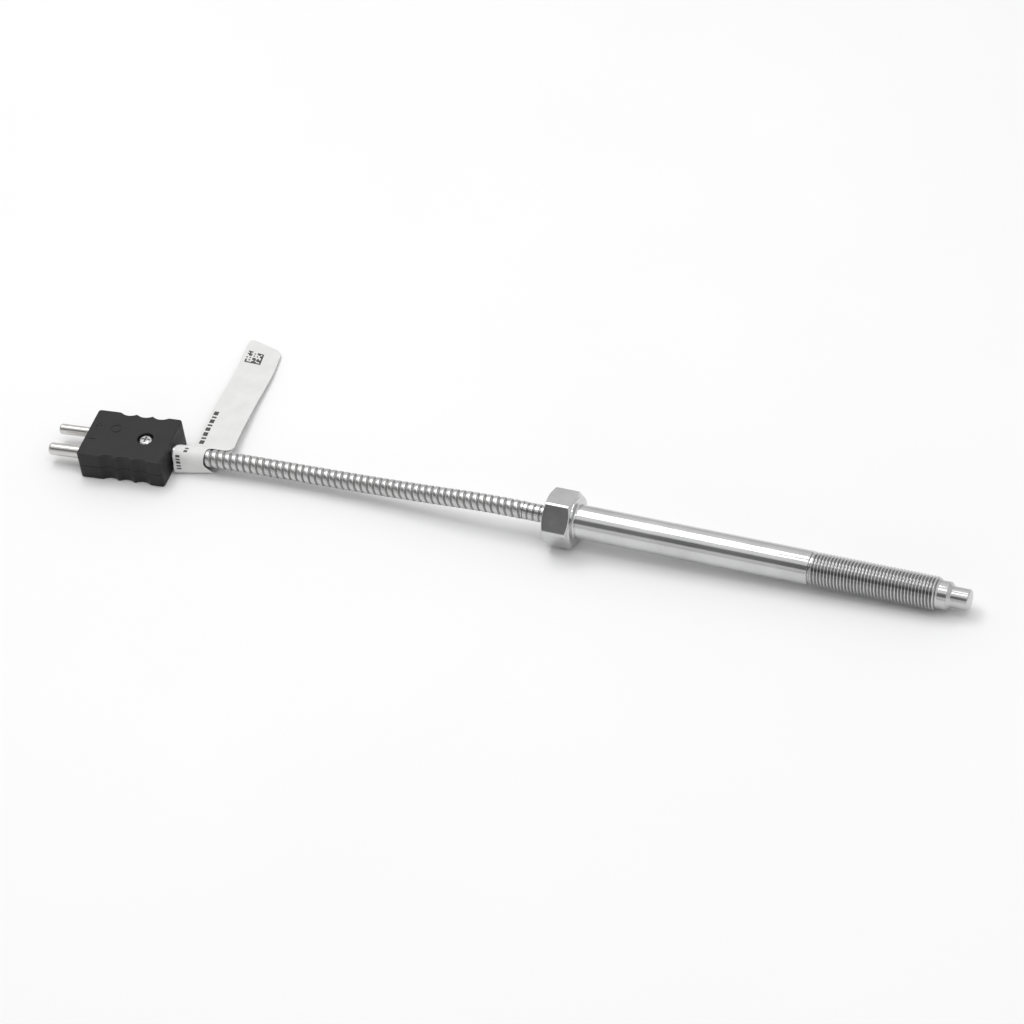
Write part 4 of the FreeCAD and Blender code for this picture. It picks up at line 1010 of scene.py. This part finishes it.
# across, height, left edge, width, towards the flag's end on top, then back below
rise = [(y, z + 0.14, x, 15.2) for y, z, x in FLAG]
over = [(8.2, 5.15, -159.6, 14.7), (6.6, 6.1, -160.6, 14.0), (5.3, 7.4, -161.6, 13.2), (4.1, 8.6, -162.3, 12.6), (2.7, 9.38, -162.9, 12.2), (1.1, 9.62, -163.1, 12.3)]
near = [(-0.6, 9.2, -163.2, 12.4), (-1.9, 8.1, -163.1, 12.3), (-2.5, 6.4, -162.9, 12.1), (-2.55, 4.7, -162.8, 12.2), (-2.5, 3.1, -162.7, 12.8), (-2.3, 1.75, -162.6, 13.8), (-1.7, 0.8, -162.5, 14.6), (-0.3, 0.38, -162.4, 15.0)]
under = [(1.0, 0.75, -162.2, 15.2), (2.6, 1.6, -161.8, 15.2), (4.2, 2.7, -161.1, 15.2), (6.0, 3.75, -160.2, 15.2), (8.0, 4.35, -159.6, 15.2)]
fall = [(y, z - 0.14, x, 15.2) for y, z, x in FLAG[::-1]]
STRIP = smooth_path(rise + over + near + under + fall, 0.45)
d = np.gradient(STRIP[:, :2], axis=0)
d /= np.linalg.norm(d, axis=1)[:, None]
side_n = np.stack([d[:, 1], -d[:, 0]], 1)  # (across, height) normal of the strip
s_along = np.concatenate([[0], np.cumsum(np.linalg.norm(np.diff(STRIP[:, :2], axis=0), axis=1))])
STRIP_LENGTH = float(s_along[-1])
CORNER = 3.0
LANES = [0.0, 0.04, 0.14, 0.32, 0.58, 0.92, 1.35, 1.85, 2.4, 3.0, 4.4, 6.0]
LANES += [7.6] + [15.2 - v for v in LANES[::-1]]
COLUMNS = len(LANES) - 1
EASE = 9.0
verts, uvs = [], []


def ramped(x, a, b):
    return min(max((x - a) / (b - a), 0.0), 1.0)


def strip_point(dist, v, sign, second):
    """A point of the film: dist along from its nearer end, v across (0 to 15.2)."""
    s = STRIP_LENGTH - dist if second else dist
    y, h, x0, width = (float(np.interp(s, s_along, STRIP[:, k])) for k in range(4))
    n = [float(np.interp(s, s_along, side_n[:, k])) * (LAYER / 2.0) * sign for k in range(2)]
    x = x0 + width * v / 15.2
    loop = ramped(dist, 50.0, 62.0)
    lean = 0.067 * loop + 0.167 * loop * (1.0 - ramped(h, 3.0, 6.0)) * ramped(-y, -1.0, 1.0)
    tail = 1.0 - ramped(dist, 0.0, 22.0)
    y += lean * (x - x0 - width / 2.0) - 0.30 * tail * tail * v
    return x, y + n[0], max(h + n[1], 0.03)


def strip_row(i, sign):
    second = s_along[i] > STRIP_LENGTH / 2.0
    dist = min(s_along[i], STRIP_LENGTH - s_along[i])
    row = []
    for v in LANES:
        e = min(v, 15.2 - v)
        cut = CORNER - math.sqrt(max(CORNER ** 2 - (CORNER - min(e, CORNER)) ** 2, 0.0))
        at = cut + dist * (1.0 - cut / EASE) if dist < EASE else dist
        row.append(len(verts))
        verts.append(strip_point(at, v, sign, second))
        uvs.append((STRIP_LENGTH - at if second else at, v))
    return row


faces = []
count = len(STRIP)
top = [strip_row(i, 1.0) for i in range(count)]
bottom = [strip_row(i, -1.0) for i in range(count)]
for i in range(count - 1):
    for k in range(COLUMNS):
        faces.append((top[i][k], top[i][k + 1], top[i + 1][k + 1], top[i + 1][k]))
        faces.append((bottom[i][k], bottom[i + 1][k], bottom[i + 1][k + 1], bottom[i][k + 1]))
    for k in (0, COLUMNS):
        faces.append((top[i][k], top[i + 1][k], bottom[i + 1][k], bottom[i][k]))
for i in (0, count - 1):
    for k in range(COLUMNS):
        faces.append((top[i][k], top[i][k + 1], bottom[i][k + 1], bottom[i][k]))

# generic print: rows of bars near the root, a block near the end (strip millimetres: along, across)
PRINT = []
for k, (a, b) in enumerate(((44.0, 46.2), (47.0, 48.0), (48.8, 51.0), (51.8, 52.8), (53.6, 55.6), (56.4, 58.6), (59.4, 60.4), (61.2, 63.4))):
    PRINT.append((a, b, 1.0, 2.9))
for k, (a, b) in enumerate(((76.8, 77.7), (78.2, 78.8), (79.3, 80.3), (80.9, 81.5), (82.0, 82.6))):
    PRINT.append((a, b, 1.4, 3.5))
for k, (a, b) in enumerate(((73.2, 73.9), (74.4, 75.4))):
    PRINT.append((a, b, 4.8, 6.6))
BLOCKS = [(6.5, 1.6, 6.9, 10)]
label = mesh_object("marker_flag", verts, faces, TABLE, 0.0, uv=uvs)
finish_piece(label, "label_film", "probe", "marker_label", angle=60.0, material=label_material())

# ------------------------------------------------------------------ CAD nodes that stay
KEEP = {
    "sheath_tube": "sheath_steel", "mineral_fill": "mineral", "element_wire_positive": "iron_wire",
    "element_wire_negative": "constantan_wire", "transition_sleeve": "sheath_steel",
    "potting": "epoxy", "wire_splices": "crimp_tin", "glass_sleeve": "glass_braid", "conductor_positive": "iron_wire",
    "conductor_negative": "constantan_wire", "insulation_positive": "core_white", "insulation_negative": "core_red",
    "cover_insert": "insert_brass", "terminal_screws": "screw_steel", "terminal_washers": "crimp_tin", "entry_bush": "bush_rubber",
}
for name, slot in KEEP.items():
    o = NODES[name]
    if not o.material_slots:
        o.data.materials.append(M[slot])
    for s in o.material_slots:
        s.material = M[slot]

# ------------------------------------------------------------------ floor and light
floor = mesh_object("floor", [(-3000, -3000, 0), (3000, -3000, 0), (3000, 3000, 0), (-3000, 3000, 0)], [(0, 1, 2, 3)], TABLE, 0.0)
p = Paint("pale_floor", Specular_IOR_Level=0.3)
n = p.noise(p.where(), 7.0, 4.0, 0.5)
p.colour(p.ramp(n, (0.3, (0.90, 0.90, 0.90)), (0.7, (0.92, 0.92, 0.92))))
p.rough(p.spread(n, 0.3, 0.7, 0.55, 0.65))
floor.data.materials.append(p.m)


def softbox(name, at, aim, size, power, size_y=None, colour=(1, 1, 1)):
    light = bpy.data.lights.new(name, "AREA")
    light.shape = "RECTANGLE"
    light.size, light.size_y = size, size_y or size
    light.energy = power
    light.color = colour
    ob = bpy.data.objects.new(name, light)
    SCENE.collection.objects.link(ob)
    ob.location = at
    ob.rotation_mode = "QUATERNION"
    ob.rotation_quaternion = (Vector(aim) - Vector(at)).to_track_quat("-Z", "Y")
    return ob


softbox("key", (-0.45, 0.30, 1.00), (-0.03, 0, 0), 0.60, 3.0, 0.40)
softbox("fill", (0.75, -0.45, 0.85), (-0.03, 0, 0), 0.70, 1.0, 0.5)
softbox("strip", (-0.05, -0.10, 1.15), (-0.03, 0, 0), 1.1, 1.6, 0.12)

# a light tent: bright overhead and behind, with the open front of the tent darker
world = bpy.data.worlds.new("studio")
SCENE.world = world
world.use_nodes = True
wt = world.node_tree
wt.nodes.clear()


def wnode(kind, **values):
    n = wt.nodes.new(kind)
    for k, v in values.items():
        n.inputs[k.replace("_", " ")].default_value = v
    return n


def wmath(op, a, b):
    n = wt.nodes.new("ShaderNodeMath")
    n.operation = op
    for i, x in enumerate((a, b)):
        if isinstance(x, (int, float)):
            n.inputs[i].default_value = x
        else:
            wt.links.new(x, n.inputs[i])
    return n.outputs[0]


def step(x, a, b):
    n = wt.nodes.new("ShaderNodeMapRange")
    n.interpolation_type = "SMOOTHSTEP"
    n.inputs["From Min"].default_value, n.inputs["From Max"].default_value = a, b
    wt.links.new(x, n.inputs["Value"])
    return n.outputs[0]


coord = wnode("ShaderNodeTexCoord")
sep = wnode("ShaderNodeSeparateXYZ")
wt.links.new(coord.outputs["Generated"], sep.inputs[0])
high, front = sep.outputs[2], wmath("MULTIPLY", sep.outputs[1], -1.0)
gap = wmath("MULTIPLY", wmath("MULTIPLY", step(high, 0.38, 0.43), wmath("SUBTRACT", 1.0, step(high, 0.77, 0.82))), step(front, 0.05, 0.35))
base = wmath("ADD", 0.72, wmath("MULTIPLY", step(high, 0.0, 0.9), 0.30))
level = wmath("MULTIPLY", base, wmath("SUBTRACT", 1.0, wmath("MULTIPLY", gap, 0.78)))
bg = wnode("ShaderNodeBackground")
tone = wnode("ShaderNodeCombineColor")
for k in range(3):
    wt.links.new(level, tone.inputs[k])
wt.links.new(tone.outputs[0], bg.inputs["Color"])
bg.inputs["Strength"].default_value = 0.92
wo = wnode("ShaderNodeOutputWorld")
wt.links.new(bg.outputs[0], wo.inputs["Surface"])

# ------------------------------------------------------------------ sizes and finish
print("lead length", LEAD_LENGTH, "strip length", STRIP_LENGTH)
